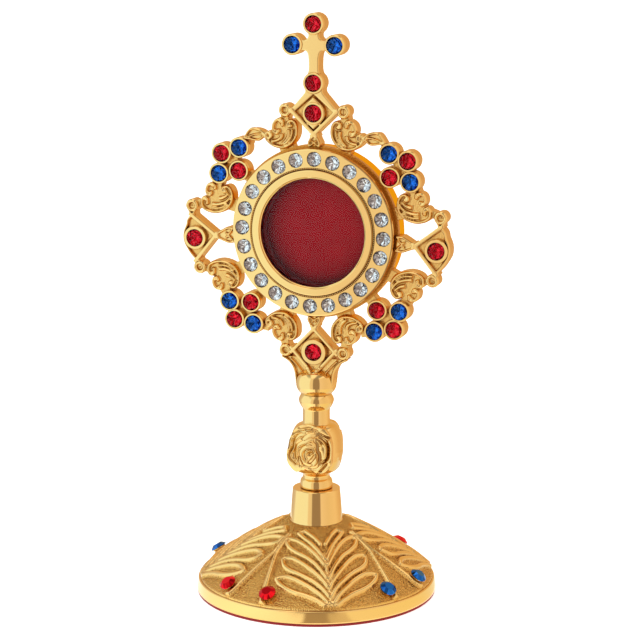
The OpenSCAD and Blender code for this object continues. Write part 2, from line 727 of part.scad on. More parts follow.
module half_ridges() {
    each_shell() shell_ridges();
    ribbon([top_lozenge + [0, 6], top_corners[0] + [0.6, 0.1]], bar_w, bar_w);
    ribbon([top_corners[0] + [0.6, 0.6], top_corners[1]], bar_w, bar_w);
    ribbon([bottom_corners[1], bottom_corners[0] + [0.6, -0.6]], bar_w, bar_w);
    ribbon([bottom_corners[0] + [0.6, 0.6], bottom_tip], bar_w, bar_w);
    ribbon([side_corners[0], side_corners[1]], bar_w, bar_w);
    ribbon([side_corners[1], side_corners[2]], bar_w, bar_w);
    ribbon(curve(side_outline, 3), bar_w * 0.8, bar_w * 0.8);
    difference() {
        connector_leaf(1.7);
        offset(delta = -0.5) connector_leaf(1.7);
    }
    ribbon([leaf_start + [0.6, 0], leaf_end], 0.6, 0.6);
    for (k = knops)
        translate(k) difference() {
            circle(r = knop_r, $fn = 24);
            circle(r = knop_r * 0.5, $fn = 16);
        }
    difference() {
        tulip(side_corners[1], 2.3);
        offset(delta = -0.6) tulip(side_corners[1], 2.3);
    }
}

module frame_ridges() {
    offset(delta = 0.01) {
        both_sides() half_ridges();
        cross_plate();
        for (t = [[top_corners[1], 1.7], [bottom_corners[1], 1.9]])
            difference() {
                tulip(t[0], t[1]);
                offset(delta = -0.6) tulip(t[0], t[1]);
            }
    }
}

// The bulb at the foot of the frame, turned about the stem's axis
module bulb() {
    translate([0, 0, frame_z]) rotate_extrude() intersection() {
        union() {
            square([joint_r, 1]);
            translate([bulb_r - bulb_h * 0.55, bulb_h * 0.46]) circle(r = bulb_h * 0.55, $fn = 64);
        }
        square([bulb_r, bulb_h]);
    }
}

module frame() {
    color(gold) difference() {
        union() {
            difference() {
                union() {
                    front_prism(frame_back, plate_front) frame_plate();
                    front_prism(plate_front - 0.5, frame_front) frame_ridges();
                }
                facing_front([0, 0], ring_back) cylinder(h = 10, r = ring_r + ring_gap, $fn = 96);
            }
            facing_front([0, 0], frame_back) cylinder(h = ring_back - frame_back, r = hoop_r, $fn = 96);
            both_sides() for (c = cluster_cups)
                facing_front(c, frame_back) cylinder(h = cup_front - frame_back, r = cup_r);
            for (c = [cross_top, cross_bottom, cross_side, [-cross_side[0], cross_side[1]]])
                facing_front(c, frame_back) cylinder(h = cup_front - frame_back, r = cross_cup_r);
            for (c = [top_lozenge, bottom_lozenge, side_lozenge, [-side_lozenge[0], side_lozenge[1]]])
                facing_front(c, 0) cylinder(h = cup_front, r = lozenge_cup_r);
            bulb();
        }
        facing_front([0, 0], frame_back - 1) cylinder(h = 20, r = drum_r, $fn = 96);
        both_sides() for (c = cluster_cups)
            facing_front(c, stone_level) stone_seat(stone_r);
        for (c = [cross_top, cross_bottom, cross_side, [-cross_side[0], cross_side[1]],
                  top_lozenge, bottom_lozenge, side_lozenge, [-side_lozenge[0], side_lozenge[1]]])
            facing_front(c, stone_level) stone_seat(stone_r);
        translate([0, 0, frame_z - 1]) cylinder(h = rod_reach + 1, r = rod_r);
    }
}

module frame_stones(places) {
    for (c = places)
        facing_front(c, stone_level) stone(stone_r);
}

module cross_red_stones() {
    color(ruby) frame_stones([cross_top, cross_bottom]);
}

module cross_blue_stones() {
    color(sapphire) both_sides() frame_stones([cross_side]);
}

module lozenge_stones() {
    color(ruby) {
        frame_stones([top_lozenge, bottom_lozenge]);
        both_sides() frame_stones([side_lozenge]);
    }
}

module cluster_red_stones() {
    color(ruby) both_sides() frame_stones(concat(upper_cluster_red, lower_cluster_red));
}

module cluster_blue_stones() {
    color(sapphire) both_sides() frame_stones(concat(upper_cluster_blue, lower_cluster_blue));
}

// Children stand at each clear stone of the ring
module at_crystals(u) {
    for (k = [0 : crystal_count - 1]) {
        a = 90 + crystal_turn - k * 360 / crystal_count;
        facing_front(crystal_circle * [cos(a), sin(a)], u) rotate(a) children();
    }
}

module crystal_ring() {
    edge = 0.5;
    color(gold) difference() {
        case_ring() polygon([[bezel_r, ring_back], [ring_r, ring_back], [ring_r, ring_front - edge],
                             [ring_r - edge, ring_front], [bezel_r + 0.4, ring_front],
                             [bezel_r, ring_front - 0.4]]);
        at_crystals(crystal_level) stone_seat(crystal_r);
    }
}

module ring_crystals() {
    color(clear) at_crystals(crystal_level) stone(crystal_r);
}

module glass_bezel() {
    round_r = bezel_w / 2;
    color(gold) case_ring() difference() {
        union() {
            translate([window_r, bezel_back]) square([bezel_w, bezel_front - bezel_back - 0.7]);
            intersection() {
                translate([window_r + round_r, bezel_front - round_r]) circle(r = round_r);
                translate([window_r, bezel_back]) square([bezel_w, bezel_front - bezel_back]);
            }
        }
        translate([window_r - 1, bezel_back - 1]) square([lip_w + 1, glass_front - bezel_back + 1]);
    }
}

module window_glass() {
    color([0.9, 0.95, 1, 0.4]) facing_front([0, 0], glass_back) cylinder(h = glass_t, r = glass_r, $fn = 96);
}

module glass_snap_ring() {
    color("silver") case_ring() translate([glass_seat_r - snap_w, snap_back]) square([snap_w, snap_t]);
}

module case_drum() {
    color(deep_gold) case_ring() translate([drum_in_r, drum_back]) square([drum_wall, ring_back - drum_back]);
}

module case_lining() {
    tube_r = glass_seat_r - glass_play;
    color(velvet) case_ring() {
        translate([lining_in_r, lining_back]) square([tube_r - lining_in_r, snap_back - lining_back]);
        translate([lining_in_r, lining_back]) square([lining_r - lining_in_r, bezel_back - lining_back]);
    }
}

module back_lid() {
    skirt_in = drum_r + lid_play;
    color(gold) case_ring() difference() {
        union() {
            translate([0, lid_back]) square([lid_r - lid_round, lid_front - lid_back]);
            translate([0, lid_back + lid_round]) square([lid_r, lid_front - lid_back - lid_round]);
            translate([lid_r - lid_round, lid_back + lid_round]) circle(r = lid_round);
        }
        translate([-1, lid_plate]) square([skirt_in + 1, 20]);
    }
}

module backing_pad() {
    color(velvet) facing_front([0, 0], lid_plate) cylinder(h = pad_t, r = pad_r, $fn = 96);
}

base_felt();
base_card();
foot();
foot_stone_cups();
foot_red_stones();
foot_blue_stones();
collar();
stem();
tie_rod();
tie_washer();
tie_nut();
frame();
cross_red_stones();
cross_blue_stones();
lozenge_stones();
cluster_red_stones();
cluster_blue_stones();
crystal_ring();
ring_crystals();
glass_bezel();
window_glass();
glass_snap_ring();
case_drum();
case_lining();
back_lid();
backing_pad();
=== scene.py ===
"""Looks of a small standing reliquary: leaf foot, rose-knob stem, jewelled openwork frame and glazed case."""

import logging
import math
from dataclasses import dataclass
from enum import Enum
from typing import Any, Iterable, Sequence

import bmesh
import bpy
import numpy as np
from mathutils import Matrix, Vector


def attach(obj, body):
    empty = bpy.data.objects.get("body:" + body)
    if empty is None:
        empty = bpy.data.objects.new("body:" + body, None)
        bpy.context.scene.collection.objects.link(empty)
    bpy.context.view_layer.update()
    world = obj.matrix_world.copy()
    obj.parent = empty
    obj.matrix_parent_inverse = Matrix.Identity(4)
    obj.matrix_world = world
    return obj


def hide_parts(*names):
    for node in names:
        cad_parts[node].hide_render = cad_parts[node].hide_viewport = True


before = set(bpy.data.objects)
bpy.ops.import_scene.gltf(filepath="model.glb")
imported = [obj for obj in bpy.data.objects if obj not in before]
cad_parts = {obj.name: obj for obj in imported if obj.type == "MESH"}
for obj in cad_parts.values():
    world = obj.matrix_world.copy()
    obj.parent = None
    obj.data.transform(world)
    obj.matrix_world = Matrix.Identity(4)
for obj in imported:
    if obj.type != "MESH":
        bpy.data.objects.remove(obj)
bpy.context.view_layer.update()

LOG = logging.getLogger("reliquary")
MM = 0.001
FULL_TURN = 2 * math.pi
BODY = "reliquary"
LID = "lid"
BRASS = "gilt_brass"
# Angles in degrees above which an edge stays sharp: on soft castings and on cut stones
CAST_SHARP, CUT_SHARP = 80.0, 5.0
ADD, SUBTRACT, MULTIPLY = ({"operation": name} for name in ("ADD", "SUBTRACT", "MULTIPLY"))
Point = tuple[float, float]
Colour = tuple[float, float, float]


class Axis(Enum):
    """Axis that a turned piece is spun about."""

    STEM = (0.0, 0.0, 1.0)
    CASE = (0.0, 1.0, 0.0)


def linear(hex_colour: str, tone: float = 1.0) -> tuple[float, float, float, float]:
    """Turns an sRGB hex value into linear colour.

    Args:
        hex_colour: Six hex digits with a leading hash.
        tone: Factor that makes it lighter or darker.

    Returns:
        Red, green, blue and an alpha of one.
    """
    parts = [int(hex_colour[i : i + 2], 16) / 255 for i in (1, 3, 5)]
    r, g, b = (tone * (c / 12.92 if c <= 0.04045 else ((c + 0.055) / 1.055) ** 2.4) for c in parts)
    return r, g, b, 1.0


class Shader:
    """A node tree while it is built."""

    def __init__(self, name: str, tree: bpy.types.NodeTree | None = None) -> None:
        """Starts an empty node tree.

        Args:
            name: Name of the new material.
            tree: A tree to take over instead of a new material's.
        """
        if tree is None:
            self.material = bpy.data.materials.new(name)
            self.material.use_nodes = True
            tree = self.material.node_tree
        self.tree = tree
        self.tree.nodes.clear()

    def add(self, kind: str, *values: Any, out: int | str = 0, settings: dict[str, Any] | None = None,
            **inputs: Any) -> bpy.types.NodeSocket | None:
        """Adds one node with its settings, constants and links.

        Args:
            kind: The node's type name, after "ShaderNode".
            values: Values or sockets for its first inputs, in order.
            out: The output that is wanted.
            settings: Properties of the node itself.
            inputs: Values or sockets by input name, with underscores for spaces.

        Returns:
            The output, or None if the node has none.
        """
        node = self.tree.nodes.new("ShaderNode" + kind)
        for key, value in (settings or {}).items():
            setattr(node, key, value)
        named = [(node.inputs[key.replace("_", " ")], value) for key, value in inputs.items()]
        for socket, value in [*zip(node.inputs, values), *named]:
            if isinstance(value, bpy.types.NodeSocket):
                self.tree.links.new(value, socket)
            else:
                socket.default_value = value
        return node.outputs[out] if node.outputs else None


@dataclass(frozen=True)
class Finish:
    """One material, named for the real one."""

    name: str

    def surface(self, shader: Shader, place: bpy.types.NodeSocket) -> bpy.types.NodeSocket:
        """Adds the nodes of the finish.

        Args:
            shader: The node tree.
            place: Object coordinates.

        Returns:
            The surface.
        """
        raise NotImplementedError

    def build(self) -> bpy.types.Material:
        """Makes the material.

        Returns:
            The new material.
        """
        shader = Shader(self.name)
        shader.add("OutputMaterial", Surface=self.surface(shader, shader.add("TexCoord", out="Object")))
        return shader.material


class Mask(Enum):
    """What tells a gilt surface's bright parts from its matt ones."""

    NONE = "none"
    DEPTH = "depth"
    POLISH = "polish"


@dataclass(frozen=True)
class GiltFinish(Finish):
    """Gilt brass: mirror-bright where it is buffed, matt where it stays as cast, with brown painted shade in corners.
    """

    bright: str = "#F0C57C"
    matt: str = "#E2AE62"
    # Colour of the painted shade in corners
    corner: str = "#6A3C10"
    bright_roughness: float = 0.1
    matt_roughness: float = 0.34
    cloud_mm: float = 5.0
    grain_mm: float = 0.4
    grain_depth_mm: float = 0.0
    # Reach and strength of the painted shade in corners
    corner_mm: float = 0.9
    corner_share: float = 0.7
    mask: Mask = Mask.NONE
    matt_depth_mm: float = 1.3
    bright_depth_mm: float = 1.9
    edge: str = "#FFFFFF"

    def share(self, shader: Shader, place: bpy.types.NodeSocket) -> bpy.types.NodeSocket | float:
        """Gives the share of the bright surface.

        Args:
            shader: The node tree.
            place: Object coordinates.

        Returns:
            The share, from 0 to 1.
        """
        if self.mask is Mask.POLISH:
            return shader.add("Attribute", out="Fac", settings={"attribute_name": "polish"})
        if self.mask is Mask.NONE:
            return 1.0
        forward = shader.add("SeparateXYZ", place, out="Y")
        return shader.add("MapRange", forward, -self.matt_depth_mm * MM, -self.bright_depth_mm * MM,
                          settings={"interpolation_type": "SMOOTHSTEP"})

    def surface(self, shader: Shader, place: bpy.types.NodeSocket) -> bpy.types.NodeSocket:
        """Adds the nodes of the finish.

        Args:
            shader: The node tree.
            place: Object coordinates.

        Returns:
            The surface.
        """
        share = self.share(shader, place)
        # Handling leaves faint clouds on the gilding, a few millimetres across.
        cloud = shader.add("TexNoise", Vector=place, Scale=1 / (self.cloud_mm * MM), Detail=3.0)
        metal = shader.add("MixRGB", share, linear(self.matt), linear(self.bright))
        # Painted shade: the colour turns towards the brown corner colour where ambient occlusion finds surfaces close
        # by.
        open_sky = shader.add("AmbientOcclusion", out="AO", settings={"samples": 6}, Distance=self.corner_mm * MM)
        painted_shade = shader.add("MapRange", open_sky, 0.2, 0.8, self.corner_share, 0.0)
        colour = shader.add("MixRGB", painted_shade, metal, linear(self.corner))
        smooth = shader.add("MapRange", share, 0.0, 1.0, self.matt_roughness, self.bright_roughness)
        rough = shader.add("Math", smooth, shader.add("Math", cloud, 0.5, settings=ADD), settings=MULTIPLY)
        normal: dict[str, Any] = {}
        if self.grain_depth_mm:
            grain = shader.add("TexVoronoi", out="Distance", Vector=place, Scale=1 / (self.grain_mm * MM))
            strength = 1.0 if self.mask is Mask.NONE else shader.add("Math", 1.0, share, settings=SUBTRACT)
            normal["Normal"] = shader.add("Bump", Height=grain, Distance=self.grain_depth_mm * MM, Strength=strength)
        return shader.add("BsdfPrincipled", Base_Color=colour, Metallic=1.0, Roughness=rough,
                          Specular_Tint=linear(self.edge), **normal)


@dataclass(frozen=True)
class FoilFinish(Finish):
    """Coloured mirror foil on a stone's back, with painted glints: each facet gets a bright or dark tone of the stone's
    colour.
    """

    dark: str
    bright: str
    coat: float = 0.0

    def surface(self, shader: Shader, place: bpy.types.NodeSocket) -> bpy.types.NodeSocket:
        """Adds the nodes of the finish.

        Args:
            shader: The node tree.
            place: Object coordinates; not used.

        Returns:
            The surface.
        """
        # Painted glints: each facet's random value picks a bright or dark tone, standing in for the light that the cut
        # breaks up.
        share = shader.add("Attribute", out="Fac", settings={"attribute_name": "painted_glint"})
        colour = shader.add("MixRGB", share, linear(self.dark), linear(self.bright))
        rough = shader.add("Math", shader.add("Math", share, 0.12, settings=MULTIPLY), 0.04, settings=ADD)
        return shader.add("BsdfPrincipled", Base_Color=colour, Metallic=1.0, Roughness=rough, Coat_Weight=self.coat,
                          Coat_Roughness=0.03)


@dataclass(frozen=True)
class ClearFinish(Finish):
    """Clear glass: the light goes straight through, and a faint gleam with a few smears comes back from its face."""

    ior: float = 1.2
    smear_mm: float = 3.0
    foil: FoilFinish | None = None

    def surface(self, shader: Shader, place: bpy.types.NodeSocket) -> bpy.types.NodeSocket:
        """Adds the nodes of the finish.

        Args:
            shader: The node tree.
            place: Object coordinates.

        Returns:
            The surface.
        """
        smear = shader.add("TexNoise", Vector=place, Scale=1 / (self.smear_mm * MM), Detail=4.0)
        through = shader.add("BsdfTransparent", Color=linear("#FFFFFF"))
        gleam = shader.add("BsdfGlossy", Roughness=shader.add("Math", smear, 0.08, settings=MULTIPLY))
        glass = shader.add("MixShader", shader.add("Fresnel", IOR=self.ior), through, gleam)
        if not self.foil:
            return glass
        # Seen from the side, a cut stone still shows the colour of its foil.
        facing = shader.add("LayerWeight", out="Facing", Blend=0.5)
        return shader.add("MixShader", shader.add("MapRange", facing, 0.33, 0.46), glass,
                          self.foil.surface(shader, place))


@dataclass(frozen=True)
class ClothFinish(Finish):
    """Velvet, felt or board: matt colour with a fine nap."""

    colour: str
    sheen: float = 0.3
    nap_mm: float = 0.25
    nap_depth_mm: float = 0.04
    patch_mm: float = 4.0
    corner_mm: float = 0.0

    def surface(self, shader: Shader, place: bpy.types.NodeSocket) -> bpy.types.NodeSocket:
        """Adds the nodes of the finish.

        Args:
            shader: The node tree.
            place: Object coordinates.

        Returns:
            The surface.
        """
        # The nap lies this way and that, which shows as soft patches some millimetres across.
        patch = shader.add("TexNoise", Vector=place, Scale=1 / (self.patch_mm * MM), Detail=5.0)
        colour = shader.add("MixRGB", patch, linear(self.colour, 0.8), linear(self.colour, 1.2))
        # Painted shade: the colour darkens where ambient occlusion finds walls close by.
        if self.corner_mm:
            open_sky = shader.add("AmbientOcclusion", out="AO", settings={"samples": 8}, Distance=self.corner_mm * MM)
            shade = shader.add("MapRange", open_sky, 0.3, 0.85, 0.22, 1.0)
            colour = shader.add("MixRGB", 1.0, colour, shade, settings={"blend_type": "MULTIPLY"})
        nap = shader.add("TexNoise", Vector=place, Scale=1 / (self.nap_mm * MM))
        return shader.add("BsdfPrincipled", Base_Color=colour, Roughness=0.9, Sheen_Weight=self.sheen,
                          Sheen_Roughness=0.4, Specular_IOR_Level=0.1,
                          Normal=shader.add("Bump", Height=nap, Distance=self.nap_depth_mm * MM, Strength=1.0))


@dataclass(frozen=True)
class SteelFinish(Finish):
    """Turned steel: a grey mirror, dulled by fine tool marks and a few darker stains."""

    colour: str
    roughness: float = 0.3
    mark_mm: float = 0.25
    mark_depth_mm: float = 0.01
    stain_mm: float = 2.0

    def surface(self, shader: Shader, place: bpy.types.NodeSocket) -> bpy.types.NodeSocket:
        """Adds the nodes of the finish.

        Args:
            shader: The node tree.
            place: Object coordinates.

        Returns:
            The surface.
        """
        stain = shader.add("TexNoise", Vector=place, Scale=1 / (self.stain_mm * MM), Detail=4.0)
        colour = shader.add("MixRGB", stain, linear(self.colour, 0.6), linear(self.colour, 1.25))
        rough = shader.add("Math", shader.add("Math", stain, 0.5, settings=ADD), self.roughness, settings=MULTIPLY)
        marks = shader.add("TexNoise", Vector=place, Scale=1 / (self.mark_mm * MM))
        return shader.add("BsdfPrincipled", Base_Color=colour, Metallic=1.0, Roughness=rough,
                          Normal=shader.add("Bump", Height=marks, Distance=self.mark_depth_mm * MM, Strength=1.0))


@dataclass(frozen=True)
class FloorFinish(Finish):
    """One even surface of the studio."""

    colour: str
    roughness: float
    glow: float

    def surface(self, shader: Shader, place: bpy.types.NodeSocket) -> bpy.types.NodeSocket:
        """Adds the nodes of the finish.

        Args:
            shader: The node tree.
            place: Object coordinates; not used.

        Returns:
            The surface.
        """
        paint = linear(self.colour)
        return shader.add("BsdfPrincipled", Base_Color=paint, Roughness=self.roughness, Emission_Color=paint,
                          Emission_Strength=self.glow)


class Finishes:
    """All materials of the object, each made once."""

    def __init__(self) -> None:
        """Builds the materials."""
        # Gilt brass, turned and buffed: a warm mirror that shows the tent as clear upright bands.
        self.polished = GiltFinish("polished_gilt", bright_roughness=0.06, corner_share=0.55, corner_mm=0.6).build()
        # Gilt casting, buffed on its high parts: bright lines on a duller, slightly pitted ground.
        self.buffed = GiltFinish("buffed_gilt", corner="#74461A", matt_roughness=0.24, grain_mm=0.5,
                                 grain_depth_mm=0.04, mask=Mask.DEPTH).build()
        # Gilt casting with punched ground: bright ribs on a ground that glitters in grains, which are drawn
        # coarser than real ones so that they show at this size.
        self.chased = GiltFinish("chased_gilt", matt="#E0AA5A", matt_roughness=0.25, grain_mm=0.42, grain_depth_mm=0.24,
                                 corner_mm=1.3, corner_share=0.72, mask=Mask.POLISH).build()
        # Gilt rose, buffed on its petals: bright lips, and rougher folds whose darker brown is painted shade.
        self.carved = GiltFinish("carved_gilt", matt="#AC7834", bright_roughness=0.16, matt_roughness=0.3,
                                 corner_share=0.45, mask=Mask.POLISH).build()
        # Gilt of the hoop's back, rougher, with painted shade: a darker, deeper orange than the buffed parts, for the
        # shade behind the ring.
        self.deep = GiltFinish("shaded_deep_gilt", bright="#CC8838", bright_roughness=0.25, grain_depth_mm=0.05,
                               corner_share=0.6).build()
        # Gilt under yellow lacquer: strong orange-yellow that stays coloured at a low angle.
        self.lacquered = GiltFinish("lacquered_gilt", bright="#FFC848", bright_roughness=0.12, corner_share=0.4,
                                    edge="#FFE09C").build()
        # Cut glass on coloured foil, with painted glints: each facet gets a light or dark tone of the stone's colour
        # under a clear face.
        self.ruby, self.sapphire, self.crystal = (
            [ClearFinish(f"{stone}_crown", foil=FoilFinish(f"{stone}_foil", dark, bright)).build(),
             FoilFinish(f"{stone}_foil", dark, bright).build()]
            for stone, dark, bright in (("ruby", "#A0040C", "#F02436"), ("sapphire", "#0A3078", "#2676E0"),
                                        ("crystal", "#9A9496", "#FFFEFC")))
        # The same glass seen from the side, as on the foot: full colour in every facet, with the same painted glints
        # and a thin gleam.
        self.side_ruby = FoilFinish("ruby_cut", "#AE0008", "#FF1622", 0.12).build()
        self.side_sapphire = FoilFinish("sapphire_cut", "#0A3C8C", "#2C84E8", 0.12).build()
        # Window glass: nothing but a faint cool gleam with a few smears.
        self.pane = ClearFinish("window_pane", ior=1.21).build()
        # Cotton velvet behind the glass: smooth deep red, with painted shade in the corner under the bezel.
        self.velvet = ClothFinish("red_velvet", "#980E1A", 0.02, nap_depth_mm=0.006, corner_mm=4.0).build()
        # Wool felt under the foot: dull red, soft, with a coarse nap.
        self.felt = ClothFinish("red_felt", "#8E2A2C", 0.2, 0.5, 0.08).build()
        # Grey board that stiffens the foot: matt and slightly mottled.
        self.board = ClothFinish("grey_board", "#8A7A66", 0.0).build()
        # Steel tie and clip: cool grey against the gilding.
        self.steel = SteelFinish("turned_steel", "#A8A8AC").build()


def smooth_curve(points: Sequence[Point], steps: int) -> list[Point]:
    """Draws a smooth curve through a list of points.

    Args:
        points: The points that the curve passes.
        steps: Number of steps between two of them.

    Returns:
        The points of the curve.
    """
    p = [np.array(q, float) for q in points]
    out: list[Point] = []
    for i in range(len(p) - 1):
        a, b, c, d = p[max(i - 1, 0)], p[i], p[i + 1], p[min(i + 2, len(p) - 1)]
        for k in range(steps):
            t = k / steps
            q = 0.5 * (2 * b + (c - a) * t + (2 * a - 5 * b + 4 * c - d) * t**2 + (3 * b - a - 3 * c + d) * t**3)
            out.append((float(q[0]), float(q[1])))
    out.append((float(p[-1][0]), float(p[-1][1])))
    return out


def nearest(path: Sequence[Point], x: np.ndarray, v: np.ndarray) -> tuple[np.ndarray, np.ndarray]:
    """Finds how far places lie from a line, and on which side.

    Args:
        path: Points of the line.
        x: First coordinates of the places.
        v: Second coordinates of the places.

    Returns:
        The distances, and a side that is positive on the line's left.
    """
    points = np.array(path)
    best, side = np.full(x.shape, 1e9), np.zeros(x.shape)
    for p, q in zip(points, points[1:]):
        d = q - p
        t = np.clip(((x - p[0]) * d[0] + (v - p[1]) * d[1]) / (d @ d), 0, 1)
        away = np.hypot(x - p[0] - t * d[0], v - p[1] - t * d[1])
        turn = d[0] * (v - p[1]) - d[1] * (x - p[0])
        side = np.where(away < best, turn, side)
        best = np.minimum(best, away)
    return best, side


def arc(centre: Point, radius: float, start: float, end: float, steps: int) -> list[Point]:
    """Draws part of a circle from a start to an end angle, in degrees."""
    angles = np.radians(np.linspace(start, end, steps + 1))
    return [(centre[0] + radius * math.cos(a), centre[1] + radius * math.sin(a)) for a in angles]


def revolve(bm: bmesh.types.BMesh, verts: list[bmesh.types.BMVert], edges: list[bmesh.types.BMEdge],
            centre: Sequence[float], axis: Axis, steps: int, gap: float = 1e-5) -> None:
    """Turns a line once round an axis and merges what meets.

    Args:
        bm: The bmesh that it lies in.
        verts: Its vertices.
        edges: Its edges.
        centre: A point of the axis.
        axis: The axis.
        steps: Number of steps of the full turn.
        gap: Distance below which vertices are merged.
    """
    bmesh.ops.spin(bm, geom=[*verts, *edges], cent=centre, axis=axis.value, dvec=(0.0, 0.0, 0.0), angle=FULL_TURN,
                   steps=steps, use_merge=True, use_duplicate=False)
    bmesh.ops.remove_doubles(bm, verts=bm.verts, dist=gap)


def edged(profile: Sequence[Point], gap: float = 0.06) -> list[Point]:
    """Adds points beside the corners of a profile, so that its long faces keep their own plain shading.

    Args:
        profile: The points.
        gap: Distance of an added point from its corner.

    Returns:
        The profile with the added points.
    """
    out = [profile[0]]
    for p, q in zip(profile, profile[1:]):
        length = math.dist(p, q)
        if length > 0.7:
            out += [(p[0] + (q[0] - p[0]) * t, p[1] + (q[1] - p[1]) * t) for t in (gap / length, 1 - gap / length)]
        out.append(q)
    return out


def short_of(start: Point, end: Point, gap: float) -> Point:
    """Gives the point between two others that lies a gap away from the first."""
    t = gap / math.dist(start, end)
    return start[0] + (end[0] - start[0]) * t, start[1] + (end[1] - start[1]) * t


@dataclass(frozen=True)
class CaseLevels:
    """Levels of the case and frame in millimetres; depth counts forwards from the stem's axis."""

    centre_z: float = 104.3
    back: float = -2.3
    ground: float = 0.9
    plate: float = 1.45
    ridge: float = 2.5
    cup: float = 2.9
    ring_back: float = 1.0
    ring_front: float = 3.9
    drum_r: float = 22.4
    hoop_r: float = 24.3
    ring_r: float = 23.6


LEVELS = CaseLevels()
# Radius of the bore for the tie rod, through foot, collar and stem
BORE_R = 1.65


class Piece:
    """One visual piece: built in millimetres with bmesh, then placed in the scene in metres."""

    def __init__(self, name: str) -> None:
        """Starts an empty piece with the name of its object."""
        self.name = name
        self.bm = bmesh.new()

    def join(self, other: bmesh.types.BMesh) -> None:
        """Adds a finished bmesh to the piece and frees it.

        Args:
            other: The bmesh.
        """
        mesh = bpy.data.meshes.new("joined")
        other.to_mesh(mesh)
        other.free()
        self.bm.from_mesh(mesh)
        bpy.data.meshes.remove(mesh)

    def spin(self, profile: Sequence[Point], steps: int, axis: Axis = Axis.STEM, centre: Point = (0.0, 0.0),
             closed: bool = False, place: Matrix | None = None) -> None:
        """Turns a profile about the stem's axis, or about an axis that points to the front.

        Args:
            profile: Radius and height, or radius and forward depth for a case piece.
            steps: Number of steps of the full turn.
            axis: The axis.
            centre: Place of a forward axis: x, and z from the ring's centre.
            closed: Whether the profile's ends are joined.
            place: Where the turned shape goes, if not where it was turned.
        """
        lathe = bmesh.new()
        profile = edged(profile)
        if axis is Axis.STEM:
            origin = Vector((0.0, 0.0, 0.0))
            points = [Vector((r, 0.0, h)) for r, h in profile]
        else:
            origin = Vector((centre[0], 0.0, LEVELS.centre_z + centre[1]))
            points = [origin + Vector((r, -h, 0.0)) for r, h in profile]
        verts = [lathe.verts.new(p) for p in points]
        edges = [lathe.edges.new(pair) for pair in zip(verts, verts[1:])]
        if closed:
            edges.append(lathe.edges.new((verts[-1], verts[0])))
        revolve(lathe, verts, edges, origin, axis, steps)
        if place:
            bmesh.ops.transform(lathe, matrix=place, verts=lathe.verts)
        self.join(lathe)

    def prism(self, outline: Sequence[Point], low: float, high: float) -> None:
        """Extrudes a flat outline of the frame towards the front.

        Args:
            outline: Points in x, and z from the ring's centre.
            low: Depth of the back face.
            high: Depth of the front face.
        """
        verts = [self.bm.verts.new((x, -low, LEVELS.centre_z + v)) for x, v in outline]
        face = self.bm.faces.new(verts)
        made = bmesh.ops.extrude_face_region(self.bm, geom=[face], use_keep_orig=True)["geom"]
        top = [g for g in made if isinstance(g, bmesh.types.BMVert)]
        bmesh.ops.translate(self.bm, verts=top, vec=(0.0, low - high, 0.0))

    def disc(self, centre: Point, radius: float, low: float, high: float, sides: int = 32) -> None:
        """Adds a round prism of the frame, between two depths."""
        self.prism(arc(centre, radius, 0, 360 - 360 / sides, sides - 1), low, high)

    def sweep(self, path: Sequence[Point], width: float, depth: float, level: float, end_width: float | None = None,
              sides: int = 8) -> None:
        """Sweeps an oval section along a flat path of the frame, with closed ends.

        Args:
            path: Points in x, and z from the ring's centre.
            width: Width of the section in the frame's plane.
            depth: Height of the section towards the front.
            level: Depth of the section's centre.
            end_width: Width at the path's end, if it tapers.
            sides: Number of sides of the section.
        """
        p = np.array(path, float)
        tangent = np.gradient(p, axis=0)
        tangent /= np.maximum(np.linalg.norm(tangent, axis=1, keepdims=True), 1e-9)
        widths = np.linspace(width, width if end_width is None else end_width, len(p))
        rings = []
        for q, t, w in zip(p, tangent, widths):
            ring = []
            for k in range(sides):
                a = FULL_TURN * k / sides
                across, up = 0.5 * w * math.cos(a), 0.5 * depth * math.sin(a)
                ring.append(self.bm.verts.new((q[0] - t[1] * across, -(level + up),
                                               LEVELS.centre_z + q[1] + t[0] * across)))
            rings.append(ring)
        for one, two in zip(rings, rings[1:]):
            for k in range(sides):
                self.bm.faces.new((one[k], one[(k + 1) % sides], two[(k + 1) % sides], two[k]))
        self.bm.faces.new(rings[0])
        self.bm.faces.new(list(reversed(rings[-1])))

    def bar(self, start: Point, end: Point, width: float, low: float, high: float) -> None:
        """Adds a straight bar of the frame with square section.

        Args:
            start: One end, in x and z from the ring's centre.
            end: The other end.
            width: Its width.
            low: Depth of the back face.
            high: Depth of the front face.
        """
        a, b = np.array(start, float), np.array(end, float)
        d = (b - a) / np.linalg.norm(b - a)
        n = np.array((-d[1], d[0])) * width / 2
        self.prism([tuple(q) for q in (a + n, a - n, b - n, b + n)], low, high)

    def border(self, outline: Sequence[Point], centre: Point, radius: float, low: float, high: float) -> None:
        """Adds a raised floor of the frame round a clear circle.

        Args:
            outline: Its outer corners.
            centre: Middle of the clear circle.
            radius: Radius of the clear circle.
            low: Depth of the back face.
            high: Depth of the front face.
        """
        for p, q in zip(outline, (*outline[1:], outline[0])):
            a, b = (math.degrees(math.atan2(k[1] - centre[1], k[0] - centre[0])) for k in (p, q))
            b += 360 * round((a - b) / 360)
            self.prism([p, q] + arc(centre, radius, b, a, 8), low, high)

    def bowl(self, centre: Point, radius: float, depth: float, level: float) -> None:
        """Adds a flattened ball of the frame, with its depth as half its height and its centre on a level."""
        place = Matrix.Translation((centre[0], -level, LEVELS.centre_z + centre[1]))
        bmesh.ops.create_uvsphere(self.bm, u_segments=24, v_segments=12, radius=1.0,
                                  matrix=place @ Matrix.Diagonal((radius, depth, radius, 1.0)))

    def twin(self, name: str) -> "Piece":
        """Copies the piece to the other side of the frame's centre line.

        Args:
            name: Name of the copy.

        Returns:
            The mirrored copy.
        """
        other = Piece(name)
        other.join(self.bm.copy())
        bmesh.ops.scale(other.bm, vec=(-1.0, 1.0, 1.0), verts=other.bm.verts)
        bmesh.ops.reverse_faces(other.bm, faces=other.bm.faces)
        return other

